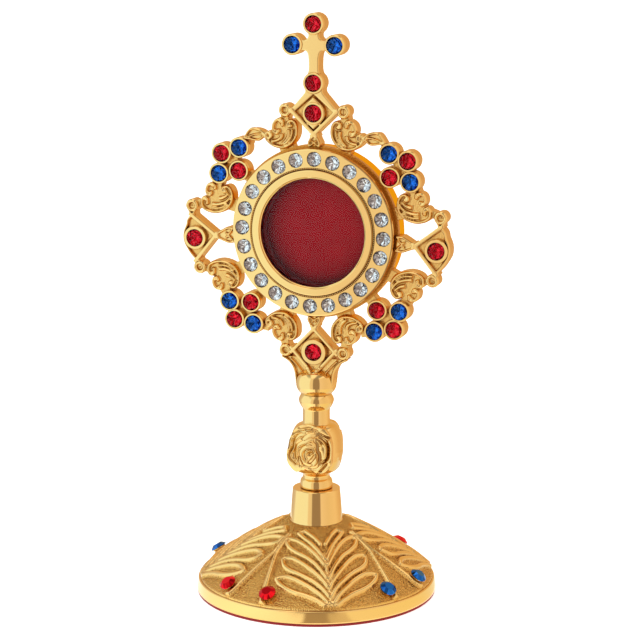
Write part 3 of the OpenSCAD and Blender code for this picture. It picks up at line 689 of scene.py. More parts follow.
    def soften(self, angle: float, width: float, segments: int = 3) -> None:
        """Rounds the piece's sharp edges.

        Args:
            angle: Least angle between faces, in degrees, that counts as sharp.
            width: Width of the rounding.
            segments: Number of its segments.
        """
        bmesh.ops.recalc_face_normals(self.bm, faces=self.bm.faces)
        sharp = [e for e in self.bm.edges if e.is_manifold and e.calc_face_angle(0.0) > math.radians(angle)]
        bmesh.ops.bevel(self.bm, geom=sharp, offset=width, offset_type="OFFSET", segments=segments, profile=0.5,
                        affect="EDGES", clamp_overlap=True, material=-1)

    def cast(self, voxel: float = 0.16, passes: int = 1) -> None:
        """Fuses the piece's overlapping solids into one softened casting.

        Args:
            voxel: Size of the voxels in millimetres.
            passes: Number of smoothing passes.
        """
        bmesh.ops.recalc_face_normals(self.bm, faces=self.bm.faces)
        mesh = bpy.data.meshes.new("casting")
        self.bm.to_mesh(mesh)
        obj = bpy.data.objects.new("casting", mesh)
        bpy.context.scene.collection.objects.link(obj)
        remesh = obj.modifiers.new("fuse", "REMESH")
        remesh.mode = "VOXEL"
        remesh.voxel_size = voxel
        soft = obj.modifiers.new("soften", "SMOOTH")
        soft.factor = 0.5
        soft.iterations = passes
        graph = bpy.context.evaluated_depsgraph_get()
        fused = bpy.data.meshes.new_from_object(obj.evaluated_get(graph))
        self.bm.clear()
        self.bm.from_mesh(fused)
        bpy.data.objects.remove(obj)
        bpy.data.meshes.remove(fused)
        bpy.data.meshes.remove(mesh)

    def place(self, materials: Sequence[bpy.types.Material], nodes: Sequence[str], slot: str = BRASS, body: str = BODY,
              sharp: float = 35.0, attribute: np.ndarray | None = None) -> bpy.types.Object:
        """Puts the piece into the scene.

        Args:
            materials: Its materials, by material index.
            nodes: CAD nodes that it stands for.
            slot: Name of a material slot; not used.
            body: The body that it rides on.
            sharp: Angle in degrees above which an edge stays sharp.
            attribute: Values of the polish attribute, one a vertex.

        Returns:
            The new object.
        """
        bmesh.ops.recalc_face_normals(self.bm, faces=self.bm.faces)
        bmesh.ops.scale(self.bm, vec=(MM, MM, MM), verts=self.bm.verts)
        mesh = bpy.data.meshes.new(self.name)
        self.bm.to_mesh(mesh)
        self.bm.free()
        for material in materials:
            mesh.materials.append(material)
        if attribute is not None:
            layer = mesh.attributes.new("polish", "FLOAT", "POINT")
            layer.data.foreach_set("value", attribute.astype(np.float32))
        mesh.shade_smooth()
        mesh.set_sharp_from_angle(angle=math.radians(sharp))
        obj = bpy.data.objects.new(self.name, mesh)
        bpy.context.scene.collection.objects.link(obj)
        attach(obj, body)
        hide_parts(*nodes)
        triangles = sum(len(p.vertices) - 2 for p in mesh.polygons)
        LOG.info("%s: %d triangles", self.name, triangles)
        return obj


@dataclass
class Stone:
    """A faceted chaton with a foiled back."""

    radius: float = 2.4
    girdle: float = 0.3
    crown: float = 0.85
    pavilion: float = 0.85
    table: float = 0.56
    sides: int = 8
    uneven: float = 0.09
    facets: tuple[tuple[float, float, float], ...] = ((0.7, 0.3, 0.5), (0.38, 0.66, 1.0))

    def add(self, piece: Piece, place: Matrix) -> None:
        """Adds one stone whose girdle starts at the place's origin and whose table faces its +Z.

        Args:
            piece: The piece that it goes into.
            place: Its place, in millimetres.
        """
        bm, n = piece.bm, self.sides
        layer = bm.faces.layers.float.get("painted_glint") or bm.faces.layers.float.new("painted_glint")
        chance = np.random.default_rng(len(bm.faces) + 3)

        def ring(radius: float, height: float, count: int, turn: float) -> list[bmesh.types.BMVert]:
            """Adds a ring of vertices, turned by a number of steps."""
            rise = self.uneven * (height < 0)
            return [bm.verts.new(place @ Vector((radius * math.cos(FULL_TURN * (k + turn) / count),
                                                 radius * math.sin(FULL_TURN * (k + turn) / count),
                                                 height + rise * chance.uniform(-1, 1)))) for k in range(count)]

        table = ring(self.radius * self.table, self.girdle + self.crown, n, 0.0)
        upper = ring(self.radius, self.girdle, 2 * n, 0.0)
        lower = ring(self.radius, 0.0, 2 * n, 0.0)
        rows = [lower]
        for out, deep, turn in self.facets:
            rows.append(ring(self.radius * out, -self.pavilion * deep, 2 * n, turn))
        culet = bm.verts.new(place @ Vector((0.0, 0.0, -self.pavilion)))
        crown_faces = [bm.faces.new(table)]
        foil_faces = []
        for k in range(n):
            j = (k + 1) % n
            a, b, c = upper[2 * k], upper[2 * k + 1], upper[(2 * k + 2) % (2 * n)]
            crown_faces += [bm.faces.new((table[k], a, b)), bm.faces.new((table[k], b, table[j])),
                            bm.faces.new((table[j], b, c))]
            d, e, f = lower[2 * k], lower[2 * k + 1], lower[(2 * k + 2) % (2 * n)]
            foil_faces += [bm.faces.new((a, d, e, b)), bm.faces.new((b, e, f, c))]
        for k in range(2 * n):
            j = (k + 1) % (2 * n)
            for one, two in zip(rows, rows[1:]):
                foil_faces += [bm.faces.new((one[k], two[k], one[j])), bm.faces.new((one[j], two[k], two[j]))]
            foil_faces.append(bm.faces.new((rows[-1][k], culet, rows[-1][j])))
        for index, faces in enumerate((crown_faces, foil_faces)):
            for face in faces:
                face.material_index = index
                # A random value for each facet: its painted glint, bright or dark.
                face[layer] = chance.random()


def facing_front(x: float, v: float, depth: float, turn: float = 0.0) -> Matrix:
    """Gives a place on the frame whose own +Z points to the front, turned about it by degrees."""
    return (Matrix.Translation((x, -depth, LEVELS.centre_z + v)) @ Matrix.Rotation(math.radians(90), 4, "X")
            @ Matrix.Rotation(math.radians(turn), 4, "Z"))


@dataclass
class Foot:
    """Domed foot with four fern leaves, four inverted-Y stems and eight stones."""

    rim_r: float = 34.4
    rim_top_r: float = 33.95
    rim_top: float = 4.3
    felt: float = 0.8
    seat_r: float = 8.0
    seat_z: float = 20.5
    ground_r: float = 33.25
    ground_z: float = 4.75
    bulge: float = 0.95
    relief: float = 0.95
    ridge: float = 0.82
    stipple: float = 0.08
    lift: float = 0.22
    groove: float = 0.2
    spine_start: float = 17.5
    turn: float = 26.0
    stone_turn: float = 25.5
    rings: int = 128
    steps: int = 600
    stone_circle: float = 30.8
    stone_spread: float = 13.0
    stone_lift: float = 1.68
    lean: float = 34.0
    cup: tuple[Point, ...] = ((0, -1.2), (1.5, -1.2), (1.5, 0.6), (1.6, 0.85), (2.0, 1.35), (1.98, 1.48), (1.85, 1.5),
                              (1.0, 0.5), (0, 0.1))
    leaflets: tuple[tuple[tuple[Point, ...], tuple[Point, ...]], ...] = (
        (((22.0, 13.9), (23.6, 13.4), (25.8, 11.8), (27.8, 9.3), (29.2, 6.7), (31.0, 3.8), (33.0, 1.2)),
         ((22.1, 12.7), (22.8, 10.7), (24.8, 8.0), (27.2, 5.3), (29.5, 2.8), (32.0, 0.8))),
        (((16.8, 11.5), (19.0, 11.3), (21.0, 9.9), (23.0, 7.4), (25.5, 4.4), (28.0, 1.9), (30.2, 0.4)),
         ((16.5, 10.8), (17.5, 8.7), (19.8, 6.4), (22.9, 3.7), (25.8, 1.4), (27.5, 0.4))),
        (((11.5, 9.65), (13.6, 9.1), (16.0, 7.3), (18.3, 4.9), (21.5, 2.4), (25.1, 0.4)),
         ((10.2, 8.8), (12.0, 6.7), (14.8, 4.4), (18.0, 2.3), (21.0, 0.6))),
        (((9.5, 6.05), (11.5, 4.9), (14.2, 3.0), (17.4, 1.2), (19.4, 0.3)),
         ((9.2, 4.3), (11.5, 2.5), (14.5, 0.7))))
    horn: tuple[Point, ...] = ((12.0, 0.35), (18.0, 0.4), (20.0, 0.85), (22.3, 1.75), (25.5, 2.95), (28.8, 4.2),
                               (31.0, 5.2), (32.8, 6.4))

    def ground(self, r: np.ndarray | float) -> np.ndarray | float:
        """Gives the height of the dome's ground at distances from the axis."""
        t = (self.ground_r - r) / (self.ground_r - self.seat_r)
        return self.ground_z + (self.seat_z - self.ground_z) * t + self.bulge * 4 * t * (1 - t)

    def relief_at(self, x: np.ndarray, y: np.ndarray) -> tuple[np.ndarray, np.ndarray]:
        """Gives the height of the relief and how polished it is.

        Args:
            x: Coordinates in plan.
            y: Coordinates in plan.

        Returns:
            The heights above the ground, and the polish from 0 to 1.
        """
        r = np.hypot(x, y)
        angle = np.degrees(np.arctan2(x, -y)) - self.turn
        off = np.radians(np.abs((angle + 45) % 90 - 45))
        a, b = r * np.cos(off), r * np.sin(off)
        high, rim, edge = np.zeros(r.shape), np.zeros(r.shape), np.full(r.shape, 9.0)
        for low, top in self.leaflets:
            (d_low, s_low), (d_top, s_top) = (nearest(smooth_curve(line, 5), a, b) for line in (low, top))
            inside = (s_low * s_top < 0) & (d_low + d_top < 5.5)
            d_tip, _ = nearest([low[0], top[0]], a, b)
            near = np.minimum(np.minimum(d_low, d_top), d_tip)
            ridge = np.clip(1 - (near / self.ridge) ** 2, 0, 1) ** 0.7
            fill = np.where(inside, 0.12 + 0.35 * np.exp(-near / 0.7), 0.0)
            rim, edge = np.maximum(rim, ridge), np.minimum(edge, near)
            high = np.maximum(high, np.maximum(ridge, fill))
        spine = np.where(a > self.spine_start, 0.8 * np.clip(1 - (b / 0.75) ** 2, 0, 1) ** 0.7, 0.0)
        rim, high = np.maximum(rim, spine), np.maximum(high, spine)
        ya, yb = r * np.cos(math.pi / 4 - off), r * np.sin(math.pi / 4 - off)
        d_horn, _ = nearest(smooth_curve(self.horn, 5), ya, yb)
        horn = 0.95 * np.clip(1 - (d_horn / np.clip(0.5 + (ya - 14) * 0.03, 0.5, 1.05)) ** 2, 0, 1) ** 0.7
        high = np.maximum(high, horn)
        groove = self.groove * np.exp(-(((np.minimum(edge, d_horn) - 1.1) / 0.35) ** 2))
        high = high - np.where(high < 0.35, groove, 0.0)
        polish = np.clip(np.maximum(rim, horn) * 1.6 - 0.35, 0, 1)
        fade = np.clip((r - self.seat_r) / 0.8, 0, 1) * np.clip((self.ground_r - r) / 0.3, 0, 1)
        return high * fade, polish * fade

    def profile(self) -> list[Point]:
        """Draws the closed profile of the cast foot.

        Returns:
            Its points, from the dome's top outwards, then along the underside.
        """
        dome = [(r, float(self.ground(r))) for r in np.linspace(self.seat_r, self.ground_r, self.rings)]
        rim = [(self.ground_r + 0.12, self.rim_top - 0.02), (self.rim_top_r - 0.3, self.rim_top),
               (self.rim_top_r - 0.08, self.rim_top - 0.08), (self.rim_top_r + 0.02, self.rim_top - 0.3),
               (self.rim_r - 0.06, self.felt + 0.5), (self.rim_r - 0.08, self.felt + 0.1),
               (self.rim_r - 0.25, self.felt)]
        under = [(32.8, self.felt), (32.8, 2.0), (31.6, 2.0), (30.8, 3.6), (20.0, 11.2), (6.0, 18.3), (BORE_R, 18.3),
                 (BORE_R, self.seat_z)]
        return dome + rim + under

    def build(self, fin: Finishes) -> None:
        """Builds the foot, its stone cups and its stones.

        Args:
            fin: The materials.
        """
        foot = Piece("foot_casting")
        foot.spin(self.profile(), self.steps, closed=True)
        co = np.array([v.co for v in foot.bm.verts])
        r = np.hypot(co[:, 0], co[:, 1])
        on_dome = (r <= self.ground_r + 0.01) & (np.abs(co[:, 2] - self.ground(r)) < 0.02)
        high, polish = self.relief_at(co[:, 0], co[:, 1])
        slope = math.radians(self.lean - 2)
        rough = np.random.default_rng(5).normal(0.0, self.stipple, len(r))
        rough = rough * (1 - polish) * np.clip((self.ground_r - r) / 0.5, 0, 1)
        lift = np.where(on_dome, np.maximum(0.0, high * self.relief + self.lift + rough), 0.0)
        for v, h, rr in zip(foot.bm.verts, lift, r):
            if h > 0:
                v.co += Vector((v.co.x / rr * math.sin(slope), v.co.y / rr * math.sin(slope), math.cos(slope))) * h
        foot.place([fin.chased], ["foot"], sharp=60, attribute=np.where(on_dome, polish, 1.0))
        felt = Piece("felt_disc")
        edge = self.rim_r - 0.2
        felt.spin([(0.0, 0.0), (edge - 0.25, 0.0), (edge, 0.25), (edge, 0.6), (edge - 0.2, self.felt),
                   (0.0, self.felt)], 160)
        disc = felt.place([fin.felt], ["base_felt"], "felt")
        cups, red, blue = Piece("foot_cups"), Piece("foot_red_chatons"), Piece("foot_blue_chatons")
        for k in range(4):
            for side in (-1, 1):
                angle = math.radians(self.stone_turn - 45 + 90 * k + side * self.stone_spread)
                base = (Matrix.Rotation(angle - math.pi / 2, 4, "Z")
                        @ Matrix.Translation((self.stone_circle, 0, float(self.ground(self.stone_circle))))
                        @ Matrix.Rotation(math.radians(self.lean), 4, "Y"))
                cups.spin(self.cup, 32, place=base)
                Stone().add(red if k % 2 == 0 else blue, base @ Matrix.Translation((0, 0, self.stone_lift)))
        cups.place([fin.polished], ["foot_stone_cups"])
        red.place([fin.side_ruby] * 2, ["foot_red_stones"], "red_stone", sharp=CUT_SHARP)
        blue.place([fin.side_sapphire] * 2, ["foot_blue_stones"], "blue_stone", sharp=CUT_SHARP)


@dataclass
class Rose:
    """A rose in high relief; its crevices run counter-clockwise, with the upper petal on their left."""

    level: float = 41.2
    crown: float = 7.75
    dome: float = 0.03
    wall: float = 0.16
    ramp: float = 0.62
    lip: float = 0.32
    sharpness: float = 1.3
    back_width: float = 0.92
    back_sunk: float = 0.1
    rings: int = 80
    steps: int = 320
    outline: tuple[Point, ...] = (
        (6.5, -1.5), (6.55, 0.0), (6.55, 2.0), (6.45, 3.3), (6.2, 4.3), (5.8, 5.4), (5.2, 6.5), (4.2, 7.5),
        (2.6, 7.9), (0.8, 8.3), (-1.2, 8.5),
        (-3.0, 8.1), (-4.5, 7.0), (-5.3, 5.8), (-6.0, 4.4), (-6.3, 3.0), (-6.4, 2.0), (-6.65, 1.0), (-6.8, 0.0),
        (-6.8, -1.0),
        (-6.7, -2.2), (-6.2, -3.3), (-5.5, -4.1), (-4.6, -4.9), (-3.7, -5.2), (-2.8, -4.8), (-2.0, -4.2),
        (-0.8, -4.0), (0.4, -4.0),
        (1.4, -4.4), (2.2, -5.0), (3.5, -5.1), (4.8, -4.6), (5.7, -3.8), (6.3, -2.8))
    crevices: tuple[tuple[float, tuple[Point, ...]], ...] = (
        (0.5, ((1.6, 1.0), (1.0, 0.65), (0.6, 0.4))),
        (0.45, ((1.5, 1.3), (1.2, 1.8), (0.6, 2.0), (0.0, 1.7), (-0.6, 1.2), (-0.9, 0.4), (-0.9, -0.4),
                (-0.6, -1.0))),
        (0.75, ((1.6, 2.5), (1.0, 2.55), (0.0, 2.4), (-0.9, 2.15), (-1.6, 1.6), (-2.1, 0.8), (-2.2, 0.0),
                (-2.0, -0.9), (-1.6, -1.7),
                (-0.9, -2.3), (0.0, -2.6), (0.7, -2.7))),
        (0.8, ((0.2, -1.8), (0.5, -1.5), (0.9, -1.1), (1.5, -0.3), (2.0, 0.4))),
        (0.85, ((1.0, -3.2), (1.7, -3.15), (2.3, -2.8), (2.9, -1.9), (3.1, -1.0), (3.15, 0.0), (3.0, 0.9))),
        (0.75, ((2.7, 1.0), (2.45, 2.0), (2.5, 2.8), (2.4, 3.5), (1.7, 4.3))),
        (0.45, ((1.4, 3.1), (0.8, 3.4), (0.1, 3.35), (-0.3, 3.1))),
        (0.8, ((0.4, 4.4), (-0.5, 4.0), (-1.2, 3.6), (-2.3, 3.1), (-3.2, 2.45), (-3.65, 1.5), (-3.75, 0.5),
               (-3.7, -0.5), (-3.5, -1.2))),
        (0.65, ((-2.75, -0.9), (-2.75, -1.6), (-2.4, -2.2), (-2.2, -2.9))),
        (0.8, ((-2.0, 5.6), (-2.6, 5.45), (-3.3, 5.0), (-4.1, 4.2), (-4.45, 3.4), (-4.4, 2.6), (-4.7, 1.7),
               (-5.2, 0.8), (-5.6, 0.2),
               (-5.75, -0.4), (-5.5, -1.2), (-5.0, -1.8), (-4.3, -2.3), (-3.7, -2.7))),
        (0.75, ((2.6, 5.9), (1.6, 5.6), (0.8, 5.55), (0.0, 5.4), (-0.6, 5.05), (-1.1, 4.6))),
        (0.45, ((3.7, 3.5), (3.2, 4.2), (2.5, 4.6), (1.8, 4.55))),
        (0.85, ((3.7, -1.75), (4.5, -1.4), (5.1, -0.8), (5.4, -0.2), (5.5, 1.0), (5.5, 2.0), (5.3, 3.0),
                (4.8, 4.0), (3.9, 4.95), (3.0, 5.35))),
        (0.6, ((5.9, 5.1), (5.4, 5.2), (4.5, 5.5), (3.4, 6.0), (2.5, 6.3), (1.8, 6.5))),
        (0.6, ((3.2, -4.5), (3.9, -3.7), (4.5, -3.0), (5.0, -2.3))),
        (0.5, ((-1.5, 6.4), (-2.6, 6.5), (-3.6, 6.4), (-4.6, 5.9), (-5.0, 5.4))),
        (0.5, ((-5.7, 4.2), (-5.95, 3.2), (-5.95, 2.2), (-6.1, 1.4))),
        (0.5, ((2.2, 7.0), (1.2, 7.2), (0.2, 7.1), (-0.8, 6.9))), (0.45, ((0.2, 7.8), (-0.9, 7.8), (-2.0, 7.5),
                                                                          (-3.0, 7.2))))

    def cut(self, x: np.ndarray, v: np.ndarray, ramp: float) -> tuple[np.ndarray, np.ndarray]:
        """Gives how deep the crevices cut into the rose, and how far the petals' lips stand up beside them.

        Args:
            x: Coordinates across the rose.
            v: Coordinates up the rose.
            ramp: Width of the slope down to a crevice.

        Returns:
            The depths and the heights.
        """
        cut, lip = np.zeros(x.shape), np.zeros(x.shape)
        for depth, line in self.crevices:
            near, side = nearest(smooth_curve(line, 4), x, v)
            width = np.where(side > 0, self.wall, ramp)
            cut = np.maximum(cut, self.sharpness * depth * np.exp(-((near / width) ** 1.4)))
            rolled = self.lip * (0.5 + 0.5 * depth) * np.exp(-(((near - 0.36) / 0.22) ** 2))
            lip = np.maximum(lip, np.where(side > 0, rolled, 0.0))
        return cut, lip

    def height(self, x: np.ndarray, v: np.ndarray) -> np.ndarray:
        """Gives the depth of the rose's face in front of the stem's axis, by places across and up the rose."""
        cut, lip = self.cut(x, v, self.ramp)
        return self.crown - self.dome * (x**2 + v**2) - cut + lip

    def build(self, fin: Finishes) -> None:
        """Builds the roses on the knob's front and back.

        Args:
            fin: The materials.
        """
        piece = Piece("stem_roses")
        face = bmesh.new()
        edge = np.array(smooth_curve(self.outline + self.outline[:1], 6))
        turn = np.unwrap(np.arctan2(edge[:, 1], edge[:, 0]))
        reach = np.hypot(edge[:, 0], edge[:, 1])
        line = [face.verts.new((k / self.rings, 0.0, 0.0)) for k in range(self.rings + 1)]
        edges = [face.edges.new(pair) for pair in zip(line, line[1:])]
        revolve(face, line, edges, (0, 0, 0), Axis.CASE, self.steps)
        co = np.array([v.co for v in face.verts])
        angle = np.arctan2(co[:, 2], co[:, 0])
        angle = np.where(angle < turn[0], angle + FULL_TURN, angle)
        scale = np.interp(angle, turn, reach)
        x, v = co[:, 0] * scale, co[:, 2] * scale
        for vert, a, b, u in zip(face.verts, x, v, self.height(x, v)):
            vert.co = (a, -u, b + self.level)
        border = [e for e in face.edges if e.is_boundary]
        for depth, inset in ((0.35, 0.0), (3.2, 0.25)):
            made = bmesh.ops.extrude_edge_only(face, edges=border)["geom"]
            border = [g for g in made if isinstance(g, bmesh.types.BMEdge)]
            for vert in {q for e in border for q in e.verts}:
                out = Vector((vert.co.x, 0.0, vert.co.z - self.level)).normalized()
                vert.co += Vector((0.0, depth, 0.0)) - out * inset
        bmesh.ops.holes_fill(face, edges=border, sides=0)
        piece.join(face)
        back = piece.bm.copy()
        bmesh.ops.scale(back, vec=(self.back_width, -1.0, 1.0), verts=back.verts)
        bmesh.ops.reverse_faces(back, faces=back.faces)
        bmesh.ops.translate(back, vec=(0.0, -self.back_sunk, 0.0), verts=back.verts)
        piece.join(back)
        at = np.array([v.co for v in piece.bm.verts])
        x, v = np.where(at[:, 1] > 0, at[:, 0] / self.back_width, at[:, 0]), at[:, 2] - self.level
        # The folds are rougher, and their darker brown, strongest where the crevices cut deepest, is painted shade.
        polish = 1 - np.clip(self.cut(x, v, self.ramp * 0.35)[0] / 0.9, 0, 1)
        piece.place([fin.carved], ["stem"], sharp=75, attribute=polish)


@dataclass
class Stem:
    """Collar and turned stem with a rose on the knob's front and back."""

    collar_z: float = 20.5
    stem_z: float = 30.2
    steps: int = 240
    squareness: float = 2.5
    neck_r: float = 3.86
    top_z: float = 57.8
    side: tuple[Point, ...] = ((3.9, 34.3), (4.6, 34.9), (5.8, 35.6), (6.4, 36.3), (6.95, 38.1), (7.1, 39.5),
                               (7.2, 41.2), (7.2, 42.6), (7.1, 44.1),
                               (6.75, 46.0), (6.3, 47.3), (5.7, 48.4), (5.0, 48.85), (4.2, 49.15))

    def profile(self) -> list[Point]:
        """Draws the stem's closed profile.

        Returns:
            Its points, up the outside and down the bore.
        """
        z = self.stem_z
        disc = [(BORE_R, z), (4.3, z), (4.55, z + 0.15), (4.62, z + 0.45), (4.62, z + 1.7)]
        disc += smooth_curve([(4.6, z + 2.0), (4.42, z + 2.5), (4.1, z + 2.85), (3.9, z + 3.05)], 3)
        neck = [(self.neck_r, 33.5), (self.neck_r, 34.1)]
        upper = [(4.0, 49.4), (3.9, 49.75), (self.neck_r, 50.6), (3.85, 52.6), (3.88, 53.3), (3.98, 53.6)]
        bead = smooth_curve([(4.05, 53.7), (4.4, 54.25), (4.75, 54.95), (4.98, 55.6), (5.02, 56.1), (4.85, 56.7),
                             (4.5, 57.35), (4.2, self.top_z)], 3)
        return disc + neck + smooth_curve(self.side, 5) + upper + bead + [(BORE_R, self.top_z)]

    def build(self, fin: Finishes) -> None:
        """Builds the collar and the stem.

        Args:
            fin: The materials.
        """
        collar = Piece("collar_cone")
        z, h = self.collar_z, self.stem_z - self.collar_z
        collar.spin([(7.7, z), (7.7, z + 0.5), (7.55, z + 0.72), (6.75, z + h - 0.12), (6.63, z + h), (BORE_R, z + h),
                     (BORE_R, z + h - 1.3), (5.45, z + h - 1.3), (6.4, z)], 160, closed=True)
        collar.place([fin.polished], ["collar"])
        stem = Piece("stem_casting")
        stem.spin(self.profile(), self.steps, closed=True)
        low, top, n = self.side[0][1], self.side[-1][1], self.squareness
        for v in stem.bm.verts:
            r = math.hypot(v.co.x, v.co.y)
            if low < v.co.z < top and r > 3.8:
                grow = (abs(v.co.x / r) ** n + abs(v.co.y / r) ** n) ** (-1 / n)
                share = min(1.0, (v.co.z - low) / 1.5, (top - v.co.z) / 1.5)
                leaf = max(0.0, (v.co.z - 38.0) / 3.0) * 0.3 if v.co.z < 41.3 else 0.0
                sideways = max(0.0, abs(v.co.x / r) - 0.9) / 0.1
                scale = 1 + (grow - 1) * share + leaf * sideways / r
                v.co.x, v.co.y = v.co.x * scale, v.co.y * scale
        stem.place([fin.polished], ["stem"], sharp=50)
        Rose().build(fin)


@dataclass(frozen=True)
class Scroll:
    """Lines of one shell scroll, from its middle: rim, C-scroll and ribs with their two widths."""

    rim: tuple[Point, ...]
    scroll: tuple[Point, ...]
    ribs: tuple[tuple[tuple[Point, ...], float, float], ...]
    width: float = 0.95
    eye_r: float = 0.62


SIDE_SHELL = Scroll(
    ((2.85, -0.75), (2.75, 0.1), (3.2, 0.72), (3.8, 0.72), (4.3, 0.2), (4.5, -0.7), (4.25, -1.8), (3.5, -2.5),
     (2.3, -3.0), (0.7, -3.25),
     (-1.0, -3.0), (-2.5, -2.4), (-3.7, -1.4), (-4.5, -0.1), (-4.75, 1.3), (-4.55, 2.6), (-4.0, 3.6), (-3.1, 4.15),
     (-2.2, 3.85),
     (-1.8, 3.15), (-2.15, 2.6), (-2.75, 2.75)),
    ((0.45, 3.6), (0.4, 4.3), (1.1, 4.75), (2.0, 4.6), (2.7, 4.0), (3.0, 3.0), (2.9, 2.1), (2.4, 1.6), (1.8, 1.6),
     (1.65, 2.15)),
    ((((1.3, -1.0), (0.0, -1.02), (-1.5, -0.75), (-2.8, -0.2), (-3.8, 0.7), (-4.3, 1.6)), 1.2, 0.8),
     (((-0.75, 0.7), (-1.8, 0.9), (-2.8, 1.4), (-3.7, 2.2)), 1.25, 0.8),
     (((1.5, -2.1), (-0.3, -2.1), (-2.0, -1.65), (-3.3, -0.7)), 0.8, 0.6)))
INNER_SHELL = Scroll(
    ((3.75, -1.2), (3.1, -0.95), (2.85, -0.2), (3.3, 0.4), (4.05, 0.3), (4.55, -0.5), (4.35, -1.5), (3.35, -2.5),
     (2.05, -3.25), (0.35, -3.55),
     (-1.25, -3.4), (-2.65, -2.6), (-3.75, -1.4), (-4.35, 0.0), (-4.45, 1.5), (-4.25, 2.7), (-3.65, 3.6),
     (-2.75, 3.85), (-2.05, 3.4),
     (-1.85, 2.75), (-2.2, 2.25), (-2.7, 2.45)),
    ((-0.3, 2.7), (-0.45, 3.5), (0.05, 4.1), (0.85, 4.1), (1.85, 3.4), (2.4, 2.3), (2.35, 1.2), (1.85, 0.4),
     (1.15, 0.3), (0.85, 0.9)),
    ((((-2.05, 1.4), (-2.2, 0.3), (-1.85, -0.9), (-1.15, -1.9), (-0.15, -2.75)), 1.15, 0.8),
     (((-0.15, 0.15), (0.05, -0.9), (0.75, -1.5), (1.75, -1.9), (2.9, -2.0)), 1.25, 0.8),
     (((-3.2, 1.5), (-3.15, 0.2), (-2.7, -1.1), (-1.9, -2.1), (-0.9, -2.8)), 0.75, 0.6)))


@dataclass
class FramePlan:
    """Places of the frame's ornaments, from the ring's centre, right half; the left half mirrors it."""

    top: Point = (0.0, 33.25)
    bottom: Point = (0.0, -34.1)
    side: Point = (35.5, -3.36)
    upper_red: tuple[Point, ...] = ((27.2, 21.1), (22.1, 16.4))
    upper_blue: tuple[Point, ...] = ((21.9, 22.9), (28.0, 15.4))
    lower_red: tuple[Point, ...] = ((23.6, -26.1), (18.65, -20.9))
    lower_blue: tuple[Point, ...] = ((25.1, -20.9), (17.9, -27.0))
    cross_red: tuple[Point, ...] = ((0.0, 41.55), (0.0, 57.75))
    cross_blue: tuple[Point, ...] = ((6.15, 52.0),)
    inner_shells: tuple[Point, Point] = ((9.6, 27.05), (9.75, -27.1))
    side_shells: tuple[Point, Point] = ((29.05, 7.5), (27.25, -13.0))
    hoop_line: float = -0.4
    knop_r: float = 1.85
    cluster_r: float = 2.85
    cross_r: float = 2.95
    cup_r: float = 2.35
    stone_r: float = 2.33
    lozenge_cup_r: float = 2.45
    lozenge_stone_r: float = 2.43
    stone_level: float = 2.5
    knops: tuple[Point, ...] = ((8.5, 33.8), (8.55, -34.2), (36.5, 5.75), (34.3, -11.8))


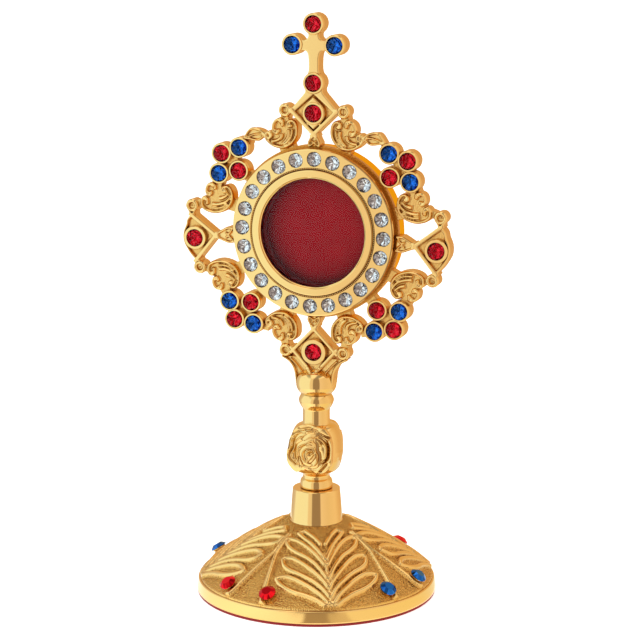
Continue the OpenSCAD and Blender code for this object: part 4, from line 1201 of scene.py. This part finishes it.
class OpenworkFrame:
    """The jewelled openwork casting with its cross, hoop and bulb."""

    def __init__(self, fin: Finishes, plan: FramePlan) -> None:
        """Remembers the materials and the places of the ornaments."""
        self.fin = fin
        self.plan = plan

    def ridge(self, piece: Piece, path: Sequence[Point], width: float, end_width: float | None = None) -> None:
        """Adds a rounded ridge on the recessed ground, which may taper to an end width."""
        piece.sweep(path, width, 2.2, LEVELS.ridge - 1.1, end_width)

    def shell(self, piece: Piece, place: Point, flip: int, motif: Scroll) -> None:
        """Adds one shell scroll.

        Args:
            piece: The casting that it goes into.
            place: Its middle.
            flip: -1 turns it upside down.
            motif: Its lines.
        """

        def put(points: Iterable[Point]) -> list[Point]:
            """Moves points from the shell's middle to its place."""
            return [(place[0] + x, place[1] + flip * v) for x, v in points]

        body = smooth_curve(motif.rim[1:-3] + motif.scroll[:-2], 3)
        piece.prism(put(body), LEVELS.back, LEVELS.plate)
        for line in (motif.rim, motif.scroll):
            path = put(smooth_curve(line, 4))
            self.ridge(piece, path, motif.width)
            piece.sweep(path[4:-8], motif.width, 2.0, LEVELS.back + 1.0)
            for p, q in zip(path[4:-10:2], path[6:-8:2]):
                piece.bar(p, q, motif.width, LEVELS.back + 0.5, LEVELS.ridge - 0.8)
            for eye in (path[0], path[-1], tuple(np.mean(path[:17], axis=0)), tuple(np.mean(path[-17:], axis=0))):
                piece.bowl(eye, motif.eye_r, 1.0, LEVELS.ridge - 1.1)
        for line, width, end in motif.ribs:
            self.ridge(piece, put(smooth_curve(line, 4)), width, end)

    def cup(self, piece: Piece, place: Point, radius: float, wall: float, low: float) -> None:
        """Adds one turned stone cup.

        Args:
            piece: The piece that it goes into.
            place: Its centre.
            radius: Inner radius.
            wall: Wall of the cup.
            low: Depth of its foot.
        """
        top = LEVELS.cup
        piece.spin([(0.0, low), (radius + wall, low), (radius + wall, top - 0.25), (radius + wall - 0.05, top - 0.1),
                    (radius + wall - 0.16, top), (radius + 0.06, top), (radius, top - 0.1), (radius, 0.93),
                    (0.0, 0.93)], 48, Axis.CASE, place)

    def knop(self, piece: Piece, place: Point) -> None:
        """Adds one dimpled knob.

        Args:
            piece: The casting that it goes into.
            place: Its centre.
        """
        piece.disc(place, self.plan.knop_r, LEVELS.back, LEVELS.plate - 0.1, 24)
        for radius, width in ((1.4, 1.1), (1.15, 0.7)):
            piece.sweep(arc(place, radius, 0, 360, 24), width, 2.0, LEVELS.ridge - 1.05)

    def tulip(self, piece: Piece, tip: Point, flare: float) -> None:
        """Adds a tulip that flares from a lozenge's corner to the hoop.

        Args:
            piece: The casting that it goes into.
            tip: Its narrow end.
            flare: Half its width at the hoop.
        """
        reach = math.hypot(*tip)
        d = np.array(tip) / reach
        n = np.array((-d[1], d[0]))
        foot = LEVELS.hoop_r - 0.4

        def at(out: float, across: float) -> Point:
            """Gives a point by its distances from the ring's centre and the tulip's middle."""
            q = d * out + n * across
            return float(q[0]), float(q[1])

        span = reach - foot
        edge = [(reach + 0.9, 0.55), (reach - 0.15 * span, 0.8), (foot + 0.55 * span, flare * 0.72),
                (foot + 0.3 * span, flare), (foot, flare * 0.95)]
        outline = [at(o, a) for o, a in edge] + [at(o, -a) for o, a in reversed(edge)]
        piece.prism(outline, LEVELS.back, LEVELS.plate + 0.3)
        for s in (-1, 1):
            self.ridge(piece, smooth_curve([at(o, s * a * 0.86) for o, a in edge], 3), 0.8)
            hook = [at(foot + 0.1, s * flare * 0.85), at(foot + 0.25 * span, s * flare * 0.15),
                    at(foot + 0.45 * span, s * flare * 0.3)]
            self.ridge(piece, smooth_curve(hook, 4), 0.6, 0.7)

    def wings(self, upper: bool) -> None:
        """Builds the shells, clusters and links of the upper or lower half.

        Args:
            upper: Whether it is the upper half.
        """
        plan, back, plate = self.plan, LEVELS.back, LEVELS.plate
        s, i = (1, 0) if upper else (-1, 1)
        half = "upper" if upper else "lower"
        piece = Piece(f"frame_{half}_right_wing")
        inner, outer = plan.inner_shells[i], plan.side_shells[i]
        red, blue = (plan.upper_red, plan.upper_blue) if upper else (plan.lower_red, plan.lower_blue)
        self.shell(piece, inner, s, INNER_SHELL)
        self.shell(piece, outer, s, SIDE_SHELL)
        for c in (*red, *blue):
            piece.disc(c, plan.cluster_r, back, LEVELS.ground)
        middle = np.mean(np.array((*red, *blue)), axis=0)
        for c in (*red, *blue):
            piece.bar(c, tuple(middle), 2.6, back, LEVELS.ground)
        knop, far_knop = plan.knops[i], plan.knops[2 + i]
        self.knop(piece, knop)
        self.knop(piece, far_knop)
        piece.bar(knop, (inner[0] - 0.6, inner[1] + s * 3.4), 2.4, back, plate)
        piece.bar(far_knop, (outer[0] + 3.9, outer[1] - s * 0.5), 2.0, back, plate)
        link = (outer[0] + 0.4, outer[1] + s * 3.6)
        piece.bar(short_of(blue[1 - i], link, 2.6), link, 3.0, back, plate)
        for p, w in (((inner[0] - 0.8, inner[1] - s * 2.6), 4.4), ((outer[0] - 3.6, outer[1] - s * 0.9), 3.6),
                     (red[1], 3.2)):
            length = math.hypot(*p)
            piece.bar(p, (p[0] / length * 23.0, p[1] / length * 23.0), w, back, LEVELS.ring_back - 0.1)
        if upper:
            start, end = (inner[0] + 4.7, inner[1] - 0.1), (blue[0][0] - 1.3, blue[0][1] + 2.6)
            mid = ((start[0] + end[0]) / 2, (start[1] + end[1]) / 2 + 0.5)
            top = smooth_curve([start, (mid[0] - 1.2, mid[1] + 1.35), (mid[0] + 1.3, mid[1] + 1.35), end], 6)
            low = smooth_curve([start, (mid[0] - 1.2, mid[1] - 1.5), (mid[0] + 1.3, mid[1] - 1.3), end], 6)
            piece.prism(top + list(reversed(low))[1:-1], back, plate + 0.2)
            for edge in (top, low):
                self.ridge(piece, edge, 0.75)
            self.ridge(piece, smooth_curve([start, mid, end], 6), 0.75, 0.4)
            tip = (blue[0][0] - 2.6, blue[0][1] + 1.9)
            piece.bar(tip, short_of(blue[0], tip, 2.6), 2.0, back, plate)
        else:
            link = (inner[0] + 3.8, inner[1] - 1.0)
            piece.bar(short_of(blue[1], link, 2.6), link, 2.4, back, plate)
        piece.cast()
        for one in (piece.twin(f"frame_{half}_left_wing"), piece):
            one.place([self.fin.buffed], ["frame"], sharp=CAST_SHARP)

    def crossed_bars(self, piece: Piece, corners: Sequence[Point], width: float, past: Sequence[float]) -> None:
        """Adds bars between corners that cross there and run past each by its own length."""
        for a, b, before, after in zip(corners, corners[1:], past, past[1:]):
            piece.bar(short_of(a, b, -before), short_of(b, a, -after), width, LEVELS.back, LEVELS.ridge)

    def lozenges(self) -> None:
        """Builds the four lozenges with their bars, tulips and flanks, and the cross."""
        plan, back, ridge = self.plan, LEVELS.back, LEVELS.ridge
        sides = Piece("frame_side_lozenges")
        x, v = plan.side
        top, inner, low = (x + 1.0, v + 6.4), (x - 6.2, v + 1.0), (x - 0.3, v - 6.3)
        bulge = smooth_curve([top, (x + 2.2, v + 5.0), (x + 2.5, v + 3.5), (x + 3.2, v + 1.9), (x + 3.45, v + 0.1),
                              (x + 3.15, v - 1.6), (x + 2.3, v - 3.1), (x + 1.3, v - 4.6), low], 4)
        sides.prism([inner] + list(reversed(bulge)), back, LEVELS.ground)
        sides.border([inner] + list(reversed(bulge)), (x, v), 2.7, back, 1.4)
        self.crossed_bars(sides, (top, inner, low), 1.05, (1.0, 1.0, 1.0))
        self.ridge(sides, bulge, 0.8)
        for p, q in zip(bulge[::2], bulge[2::2]):
            sides.bar(p, q, 0.8, back, ridge - 0.7)
        self.tulip(sides, (inner[0] + 0.2, inner[1] - 0.1), 2.35)
        for knop, corner in ((plan.knops[2], top), (plan.knops[3], low)):
            sides.bar(knop, corner, 1.9, back + 0.1, LEVELS.plate + 0.1)
            k, c = np.array(knop), np.array(corner)
            n = np.array((-(c - k)[1], (c - k)[0])) / np.linalg.norm(c - k)
            for s in (-1, 1):
                self.ridge(sides, [tuple(k + n * s * 1.5), tuple(c + n * s * 0.2)], 0.9, 0.7)
        sides.cast()
        sides.join(sides.twin("left").bm)
        sides.place([self.fin.buffed], ["frame"], sharp=CAST_SHARP)

        middle = Piece("frame_middle")
        for centre, up, down in ((plan.top, 5.4, 5.8), (plan.bottom, 6.6, 6.6)):
            x, v = centre
            corners = [(x, v + up), (x + 6.2, v + 0.2), (x, v - down), (x - 6.2, v + 0.2)]
            middle.prism(corners, back, LEVELS.ground)
            if centre == plan.top:
                self.shoulders(middle)
                self.crossed_bars(middle, corners[1:], 1.1, (1.25, 1.25, 1.25))
            else:
                self.crossed_bars(middle, (*corners, corners[0]), 0.9, (1.25,) * 5)
                for s in (-1, 1):
                    for up, level in ((2.2, 2.9), (1.6, 3.5), (0.9, 4.1)):
                        tip = (x - s * 0.25, v - down - 0.3)
                        middle.bar((x + s * up * 0.93, v - down + up), tip, 0.9, back, level)
        self.tulip(middle, (0.0, plan.top[1] - 5.7), 1.8)
        self.tulip(middle, (0.0, plan.bottom[1] + 6.4), 1.9)
        for knop in plan.knops[:2]:
            for s in (-1, 1):
                middle.bar((s * knop[0], knop[1]), (s * 6.0, knop[1]), 1.8, back + 0.1, LEVELS.plate + 0.1)
        flank = smooth_curve([(9.9, -35.9), (8.0, -36.9), (6.9, -38.0), (6.1, -39.5), (5.7, -41.2), (5.5, -43.5)], 4)
        middle.prism(flank + [(-x, v) for x, v in reversed(flank)], back, LEVELS.plate + 0.1)
        inside = smooth_curve([(6.9, -36.4), (5.3, -38.0), (3.9, -39.6), (2.9, -40.9)], 4)
        for s in (-1, 1):
            self.ridge(middle, [(s * (x - 0.3), v) for x, v in flank], 0.75)
            self.ridge(middle, [(s * x, v) for x, v in inside], 0.55)
        self.cross(middle)
        middle.cast()
        middle.place([self.fin.buffed], ["frame"], sharp=CAST_SHARP)

    def shoulders(self, piece: Piece) -> None:
        """Adds the top lozenge's upper bars, which widen into the cross's lower cup, and its stone's pointed collar.

        Args:
            piece: The casting that they go into.
        """
        x, v = self.plan.top
        cup = (0.0, self.plan.cross_red[0][1] - v)
        side = [(7.7, -0.3), (2.7, 5.4), (2.45, 6.0), (2.45, cup[1] - 1.3)]
        side += arc(cup, 2.75, -32, -92, 6) + [(-0.1, 5.35), (6.1, -0.1)]
        for s in (-1, 1):
            piece.prism([(x + s * a, v + b) for a, b in side], LEVELS.back, LEVELS.ridge - 0.15)
        pointed = arc((x, v), 3.3, -50, 50, 6) + [(x, v + 4.4)] + arc((x, v), 3.3, 130, 230, 6) + [(x, v - 4.4)]
        piece.border(pointed, (x, v), 2.6, LEVELS.back, LEVELS.cup - 0.2)

    def cross(self, piece: Piece) -> None:
        """Adds the cross.

        Args:
            piece: The casting that it goes into.
        """
        (_, foot), (_, head) = self.plan.cross_red
        arm, level = self.plan.cross_blue[0]
        back, front = LEVELS.back, LEVELS.ridge
        for x, v in ((0.0, foot), (0.0, head), (arm, level), (-arm, level)):
            piece.disc((x, v), self.plan.cross_r, back, LEVELS.ground, 40)
        shaft = smooth_curve([(1.7, foot + 2.5), (1.4, foot + 3.6), (1.4, foot + 5.8), (1.55, level - 2.9),
                              (2.1, level - 1.75), (3.3, level - 1.45), (3.7, level - 1.5)], 3)
        crown = smooth_curve([(3.7, level + 1.35), (3.1, level + 1.25), (2.2, level + 1.4), (1.6, level + 2.0),
                              (1.45, level + 2.8), (1.7, head - 2.5)], 3)
        side = shaft + crown
        piece.prism(side + [(-x, v) for x, v in reversed(side)], back, front)

    def build(self) -> None:
        """Builds the whole casting with its cups and stones."""
        plan, fin = self.plan, self.fin
        self.wings(True)
        self.wings(False)
        self.lozenges()
        hoop = Piece("frame_hoop")
        inner, outer, low, high = LEVELS.drum_r, LEVELS.hoop_r, LEVELS.back - 0.12, LEVELS.ring_back
        hoop.spin([(inner, low), (outer, low), (outer, plan.hoop_line), (outer, high), (inner, high)], 200, Axis.CASE,
                  closed=True)
        # The hoop's back part takes the deep gilt with its painted shade, and the front band takes the lacquered gilt.
        for face in hoop.bm.faces:
            face.material_index = int(-face.calc_center_median().y < plan.hoop_line)
        hoop.place([fin.deep, fin.lacquered], ["frame"])
        bulb = Piece("frame_bulb")
        bulb.spin(smooth_curve([(0.0, 57.9), (1.5, 57.9), (4.2, 57.9), (4.55, 58.1), (5.2, 58.8), (5.65, 59.8),
                                (5.78, 60.9), (5.65, 62.1), (5.1, 63.4), (3.9, 64.4), (1.6, 65.0),
                                (0.0, 65.1)], 4), 140)
        bulb.place([fin.polished], ["frame"])
        cups = Piece("frame_cups")
        for group in (plan.upper_red, plan.upper_blue, plan.lower_red, plan.lower_blue):
            for x, v in group:
                for s in (-1, 1):
                    self.cup(cups, (s * x, v), plan.cup_r, 0.6, LEVELS.back + 0.4)
        for x, v in (*plan.cross_red, *plan.cross_blue, (-plan.cross_blue[0][0], plan.cross_blue[0][1])):
            self.cup(cups, (x, v), plan.cup_r, 0.62, 0.0)
        far_side = (-plan.side[0], plan.side[1])
        for (x, v), wall in ((plan.top, 0.7), (plan.bottom, 1.2), (plan.side, 0.88), (far_side, 0.88)):
            self.cup(cups, (x, v), plan.lozenge_cup_r, wall, 0.0)
        cups.place([fin.buffed], ["frame"])
        self.stones("cross_red_chatons", plan.cross_red, "cross_red_stones", True, False)
        self.stones("cross_blue_chatons", plan.cross_blue, "cross_blue_stones", False, True)
        self.stones("lozenge_chatons", (plan.top, plan.bottom), "lozenge_stones", True, False, plan.side)
        self.stones("cluster_red_chatons", (*plan.upper_red, *plan.lower_red), "cluster_red_stones", True, True)
        self.stones("cluster_blue_chatons", (*plan.upper_blue, *plan.lower_blue), "cluster_blue_stones", False, True)

    def stones(self, name: str, places: Sequence[Point], node: str, red: bool, mirrored: bool,
               pair: Point | None = None) -> None:
        """Builds one group of the frame's stones.

        Args:
            name: Name of the piece.
            places: Places of the stones.
            node: CAD node that they stand for.
            red: Whether they are red, not blue.
            mirrored: Whether each has a mirrored twin.
            pair: A further place with a twin, for the larger stones of the lozenges.
        """
        piece = Piece(name)
        cut = Stone(radius=self.plan.lozenge_stone_r if pair else self.plan.stone_r, crown=0.5)
        spots = [(s * x, v) for x, v in places for s in ((-1, 1) if mirrored else (1,))]
        if pair:
            spots += [pair, (-pair[0], pair[1])]
        for k, (x, v) in enumerate(spots):
            cut.add(piece, facing_front(x, v, self.plan.stone_level, 17 * k))
        glass, slot = (self.fin.ruby, "red_stone") if red else (self.fin.sapphire, "blue_stone")
        piece.place(glass, [node], slot, sharp=CUT_SHARP)


@dataclass
class RelicCase:
    """The glazed case: crystal ring, bezel, glass, lining, pad and back lid."""

    window_r: float = 15.3
    glass_front: float = 2.9
    glass_r: float = 16.6
    bezel_back: float = 0.2
    bezel_r: float = 17.8
    bezel_front: float = 4.2
    crystal_r: float = 2.03
    crystal_count: int = 24
    crystal_turn: float = -1.7
    crystal_level: float = 3.45
    lid_r: float = 23.95
    lid_bore_r: float = 22.45
    lid_wall: float = 1.0
    lid_back: float = -6.8
    lid_front: float = -2.6
    pad_r: float = 21.0
    pad_front: float = -2.8
    steps: int = 192
    beads: int = 210
    bead_circle: float = 18.05

    def ring(self, fin: Finishes) -> None:
        """Builds the ring with its drilled seats and clear stones.

        Args:
            fin: The materials.
        """
        band, crystals = Piece("crystal_band"), Piece("ring_chatons")
        circle = (self.bezel_r + LEVELS.ring_r) / 2
        half = math.pi / self.crystal_count
        front, back, seat_r = LEVELS.ring_front, LEVELS.ring_back, self.crystal_r + 0.05
        inner, outer = self.bezel_r + 0.55, LEVELS.ring_r - 0.45

        def point(r: float, a: float, depth: float) -> bmesh.types.BMVert:
            """Adds one vertex of a sector, at an angle from the sector's middle."""
            a += math.radians(90 + self.crystal_turn)
            return band.bm.verts.new((r * math.cos(a), -depth, LEVELS.centre_z + r * math.sin(a)))

        border: list[Point] = []
        for s, here, there in ((1, outer, inner), (-1, inner, outer)):
            border += [(here, half * t) for t in np.linspace(-s, s, 9)]
            border += [(r, s * half) for r in np.linspace(here, there, 9)[1:-1]]
        hole = []
        for r, a in border:
            x, y = r * math.cos(a) - circle, r * math.sin(a)
            length = math.hypot(x, y)
            hx, hy = circle + x / length * seat_r, y / length * seat_r
            hole.append((hx, hy))
        levels = [(seat_r + 0.08, front), (seat_r, front - 0.08), (seat_r, self.crystal_level - 1.3)]
        rows = [[point(r, a, front) for r, a in border]]
        for radius, depth in levels:
            row = []
            for hx, hy in hole:
                qx, qy = circle + (hx - circle) * radius / seat_r, hy * radius / seat_r
                row.append(point(math.hypot(qx, qy), math.atan2(qy, qx), depth))
            rows.append(row)
        for one, two in zip(rows, rows[1:]):
            for k in range(len(one)):
                j = (k + 1) % len(one)
                band.bm.faces.new((one[k], one[j], two[j], two[k]))
        band.bm.faces.new(rows[-1])
        sector = band.bm.verts[:] + band.bm.edges[:] + band.bm.faces[:]
        bmesh.ops.spin(band.bm, geom=sector, cent=(0, 0, LEVELS.centre_z), axis=Axis.CASE.value, dvec=(0, 0, 0),
                       angle=FULL_TURN * (1 - 1 / self.crystal_count), steps=self.crystal_count - 1, use_merge=False,
                       use_duplicate=True)
        bmesh.ops.remove_doubles(band.bm, verts=band.bm.verts, dist=1e-3)
        edge = [(outer, front), (LEVELS.ring_r - 0.15, front - 0.12), (LEVELS.ring_r, front - 0.45),
                (LEVELS.ring_r, back), (self.bezel_r, back), (self.bezel_r, front - 0.55),
                (self.bezel_r + 0.3, front - 0.4), (inner, front)]
        band.spin(edge, self.steps, Axis.CASE)
        band.place([fin.polished], ["crystal_ring"])
        cut = Stone(radius=self.crystal_r, crown=0.4, pavilion=0.75, table=0.55)
        for k in range(self.crystal_count):
            a = math.radians(90 + self.crystal_turn - k * 360 / self.crystal_count)
            cut.add(crystals, facing_front(circle * math.cos(a), circle * math.sin(a), self.crystal_level, 31 * k))
        crystals.place(fin.crystal, ["ring_crystals"], "clear_stone", sharp=CUT_SHARP)

    def build(self, fin: Finishes) -> None:
        """Builds the case.

        Args:
            fin: The materials.
        """
        self.ring(fin)
        bezel = Piece("bezel_ring")
        w, r, front, seat = self.window_r, self.bezel_r, self.bezel_front, self.glass_front
        bezel.spin([(w, seat), (w, 3.6), (w + 0.1, 3.7), (w + 0.28, 3.72), (w + 0.34, 4.08), (w + 0.48, front),
                    (17.4, front), (17.62, 4.1), (r - 0.06, 3.85), (r, 3.5), (r, self.bezel_back),
                    (self.glass_r, self.bezel_back), (self.glass_r, seat)], self.steps, Axis.CASE, closed=True)
        for k in range(self.beads):
            a = FULL_TURN * k / self.beads
            bmesh.ops.create_icosphere(bezel.bm, subdivisions=1, radius=0.25, matrix=Matrix.Translation(
                (self.bead_circle * math.cos(a), -3.68, LEVELS.centre_z + self.bead_circle * math.sin(a))))
        bezel.place([fin.polished], ["glass_bezel"])
        lining = Piece("lining_ring")
        lining.spin([(15.4, 1.1), (15.4, -2.5), (21.2, -2.5), (21.2, 0.2), (16.5, 0.2), (16.5, 1.1)], self.steps,
                    Axis.CASE, closed=True)
        lining.soften(60, 0.2, 2)
        lining.place([fin.velvet], ["case_lining"], "velvet")
        lid = Piece("lid_cap")
        r, back, front = self.lid_r, self.lid_back, self.lid_front
        floor = back + self.lid_wall
        lid.spin([(0.0, back)] + [(r - 1.0, back)] + arc((r - 1.0, back + 1.0), 1.0, -75, 0, 6) +
                 [(r, front - 0.15), (r - 0.15, front), (self.lid_bore_r, front), (self.lid_bore_r, floor),
                  (0.0, floor)],
                 self.steps, Axis.CASE)
        lid.place([fin.lacquered], ["back_lid"], body=LID)
        pad = Piece("velvet_pad")
        r, front = self.pad_r, self.pad_front
        pad.spin([(0.0, front), (r - 1.0, front)] + arc((r - 1.0, front - 1.0), 1.0, 75, 0, 5) +
                 [(r, floor), (0.0, floor)], self.steps, Axis.CASE)
        pad.place([fin.velvet], ["backing_pad"], "velvet", LID)


def dress_cad(fin: Finishes) -> None:
    """Gives the CAD nodes that stay visible their materials.

    Args:
        fin: The materials.
    """
    looks = {"base_card": fin.board, "tie_rod": fin.steel, "tie_washer": fin.steel,
             "tie_nut": fin.steel, "glass_snap_ring": fin.steel, "case_drum": fin.polished, "window_glass": fin.pane}
    for name, material in looks.items():
        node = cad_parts[name]
        node.data.materials.clear()
        node.data.materials.append(material)
        LOG.info("%s: CAD node with %s", name, material.name)


@dataclass
class Studio:
    """Camera, floor and soft lights like those of a light tent."""

    azimuth: float = 18.67
    elevation: float = 11.67
    distance: float = 628.94
    target: tuple[float, float, float] = (0.976, 0.330, 78.93)
    lens: float = 125.53
    ceiling: tuple[float, float] = (0.4, 1.35)
    lamp_gap: float = 0.9
    sheet_steps: int = 96
    walls: tuple[tuple[float, Colour], ...] = (
        (-180, (0.85, 0.56, 0.22)), (-140, (0.78, 0.58, 0.36)), (-118, (0.72, 0.68, 0.62)),
        (-100, (0.85, 0.85, 0.85)),
        (-90, (1.1, 1.32, 1.42)), (-21, (1.1, 1.32, 1.42)), (-17, (1.0, 0.98, 0.92)), (-3, (0.97, 0.94, 0.88)),
        (1, (0.40, 0.33, 0.29)), (35, (0.40, 0.33, 0.29)), (39, (1.03, 0.94, 0.86)), (71, (0.97, 0.86, 0.70)),
        (110, (1.04, 0.91, 0.72)), (151, (0.86, 0.62, 0.34)), (180, (0.85, 0.56, 0.22)))
    rim_walls: tuple[tuple[float, Colour], ...] = (
        (-180, (0.9, 0.9, 0.9)), (-90, (1.2, 1.3, 1.3)), (-30, (1.5, 1.55, 1.5)), (9, (1.25, 1.25, 1.15)),
        (11, (0.5, 0.42, 0.33)),
        (26, (0.5, 0.42, 0.33)), (28, (0.8, 0.72, 0.55)), (40, (0.85, 0.76, 0.58)), (42, (1.1, 1.05, 0.8)),
        (90, (1.08, 1.0, 0.65)), (180, (0.9, 0.9, 0.9)))

    def camera(self) -> None:
        """Makes the camera at the photograph's viewing angle."""
        a, e = math.radians(self.azimuth), math.radians(self.elevation)
        back = Vector((math.sin(a) * math.cos(e), -math.cos(a) * math.cos(e), math.sin(e)))
        data = bpy.data.cameras.new("camera")
        data.lens = self.lens
        data.sensor_width = 36.0
        data.clip_start, data.clip_end = 0.01, 100.0
        cam = bpy.data.objects.new("camera", data)
        cam.location = (Vector(self.target) + back * self.distance) * MM
        cam.rotation_mode = "QUATERNION"
        cam.rotation_quaternion = (-back).to_track_quat("-Z", "Y")
        bpy.context.scene.collection.objects.link(cam)
        bpy.context.scene.camera = cam

    def softbox(self, name: str, azimuth: float, distance: float, size: tuple[float, float], height: float,
                radiance: float, colour: Colour) -> None:
        """Makes one large soft light that faces the object.

        Args:
            name: Its name.
            azimuth: Direction from the front, towards the right, in degrees.
            distance: Distance from the object in metres.
            size: Width and height in metres.
            height: Height of its centre.
            radiance: Brightness of its surface.
            colour: Its colour.
        """
        data = bpy.data.lights.new(name, "AREA")
        data.shape = "RECTANGLE"
        data.size, data.size_y = size
        data.energy = radiance * math.pi * size[0] * size[1]
        data.color = colour
        light = bpy.data.objects.new(name, data)
        a = math.radians(azimuth)
        light.location = Vector((math.sin(a) * distance, -math.cos(a) * distance, height))
        aim = Vector((-light.location.x, -light.location.y, 0.0))
        light.rotation_mode = "QUATERNION"
        light.rotation_quaternion = aim.to_track_quat("-Z", "Y")
        light.visible_glossy = False
        bpy.context.scene.collection.objects.link(light)

    def tent(self, shader: Shader, way: bpy.types.NodeSocket,
             walls: Sequence[tuple[float, Colour]]) -> bpy.types.NodeSocket:
        """Gives the tent's brightness by the direction round the object.

        Args:
            shader: The node tree that it goes into.
            way: A direction, or a place on the floor.
            walls: Colours by azimuth.

        Returns:
            The colour.
        """
        across = shader.add("SeparateXYZ", way, out="X")
        forward = shader.add("Math", shader.add("SeparateXYZ", way, out="Y"), -1.0, settings=MULTIPLY)
        angle = shader.add("Math", across, forward, settings={"operation": "ARCTAN2"})
        turns = shader.add("Math", angle, 0.5 / math.pi, settings=MULTIPLY)
        colours = shader.add("ValToRGB", shader.add("Math", turns, 0.5, settings=ADD), out="Color")
        ramp = colours.node.color_ramp
        while len(ramp.elements) < len(walls):
            ramp.elements.new(0.5)
        for element, (azimuth, colour) in zip(ramp.elements, walls):
            element.position = azimuth / 360 + 0.5
            element.color = (*colour, 1.0)
        return colours

    def build(self) -> None:
        """Builds the studio."""
        self.camera()
        scene = bpy.context.scene
        scene.view_settings.view_transform = "Standard"
        world = bpy.data.worlds.new("tent")
        world.use_nodes = True
        sky = Shader("tent", world.node_tree)
        way = sky.add("TexCoord", out="Generated")
        height = sky.add("SeparateXYZ", way, out="Z")
        overhead = sky.add("MapRange", height, 0.6, 0.9)
        # Lamps above the tent show as soft bright strips that run away from the camera.
        flat_height = sky.add("Math", height, 0.3, settings={"operation": "MAXIMUM"})
        across = sky.add("Math", sky.add("SeparateXYZ", way, out="X"), flat_height, settings={"operation": "DIVIDE"})
        shifted = sky.add("Math", across, 0.35, settings=ADD)
        phase = sky.add("Math", shifted, FULL_TURN / self.lamp_gap, settings=MULTIPLY)
        strip = sky.add("Math", phase, settings={"operation": "SINE"})
        lamp = sky.add("MapRange", strip, -0.6, 0.6, *self.ceiling)
        colour = sky.add("MixRGB", overhead, self.tent(sky, way, self.walls), lamp)
        sky.add("OutputWorld", Surface=sky.add("Background", Color=colour))
        scene.world = world
        self.softbox("left_softbox", -50, 1.4, (1.2, 1.6), 0.95, 1.25, (0.92, 1.0, 1.0))
        self.softbox("right_softbox", 90, 1.4, (1.6, 1.2), 0.95, 0.95, (1.0, 0.9, 0.74))
        floor = self.flat("floor", 0.0, 6.0, 0.0, FloorFinish("pale_floor", "#FAFAFA", 0.9, 0.6).build())
        for name, inner, outer, walls in (("rim_bounce", 0.0362, 0.1, self.rim_walls),
                                          ("floor_bounce", 0.1, 6.5, self.walls)):
            bounce = Shader(name)
            glow = bounce.add("Emission", self.tent(bounce, bounce.add("TexCoord", out="Object"), walls))
            bounce.add("OutputMaterial", Surface=glow)
            sheet = self.flat(name, inner, outer, 0.0001, bounce.material)
            sheet.visible_camera = sheet.visible_diffuse = sheet.visible_shadow = False
        LOG.info("%s and its bounce sheets: stage", floor.name)

    def flat(self, name: str, inner: float, outer: float, height: float,
             material: bpy.types.Material) -> bpy.types.Object:
        """Lays a round sheet on the floor.

        Args:
            name: Its name.
            inner: Radius of its hole in metres, or 0.
            outer: Its radius in metres.
            height: Its height above the floor in metres.
            material: Its material.

        Returns:
            The new object.
        """
        bm = bmesh.new()
        line = [bm.verts.new((r, 0.0, height)) for r in (inner, outer)]
        revolve(bm, line, [bm.edges.new(line)], (0, 0, 0), Axis.STEM, self.sheet_steps, 1e-7)
        bmesh.ops.recalc_face_normals(bm, faces=bm.faces)
        mesh = bpy.data.meshes.new(name)
        bm.to_mesh(mesh)
        bm.free()
        mesh.materials.append(material)
        obj = bpy.data.objects.new(name, mesh)
        bpy.context.scene.collection.objects.link(obj)
        return obj


def main() -> None:
    """Builds the scene."""
    logging.basicConfig(level=logging.INFO, format="%(message)s")
    finishes = Finishes()
    Foot().build(finishes)
    Stem().build(finishes)
    OpenworkFrame(finishes, FramePlan()).build()
    RelicCase().build(finishes)
    dress_cad(finishes)
    Studio().build()


if __name__ == "__main__":
    main()
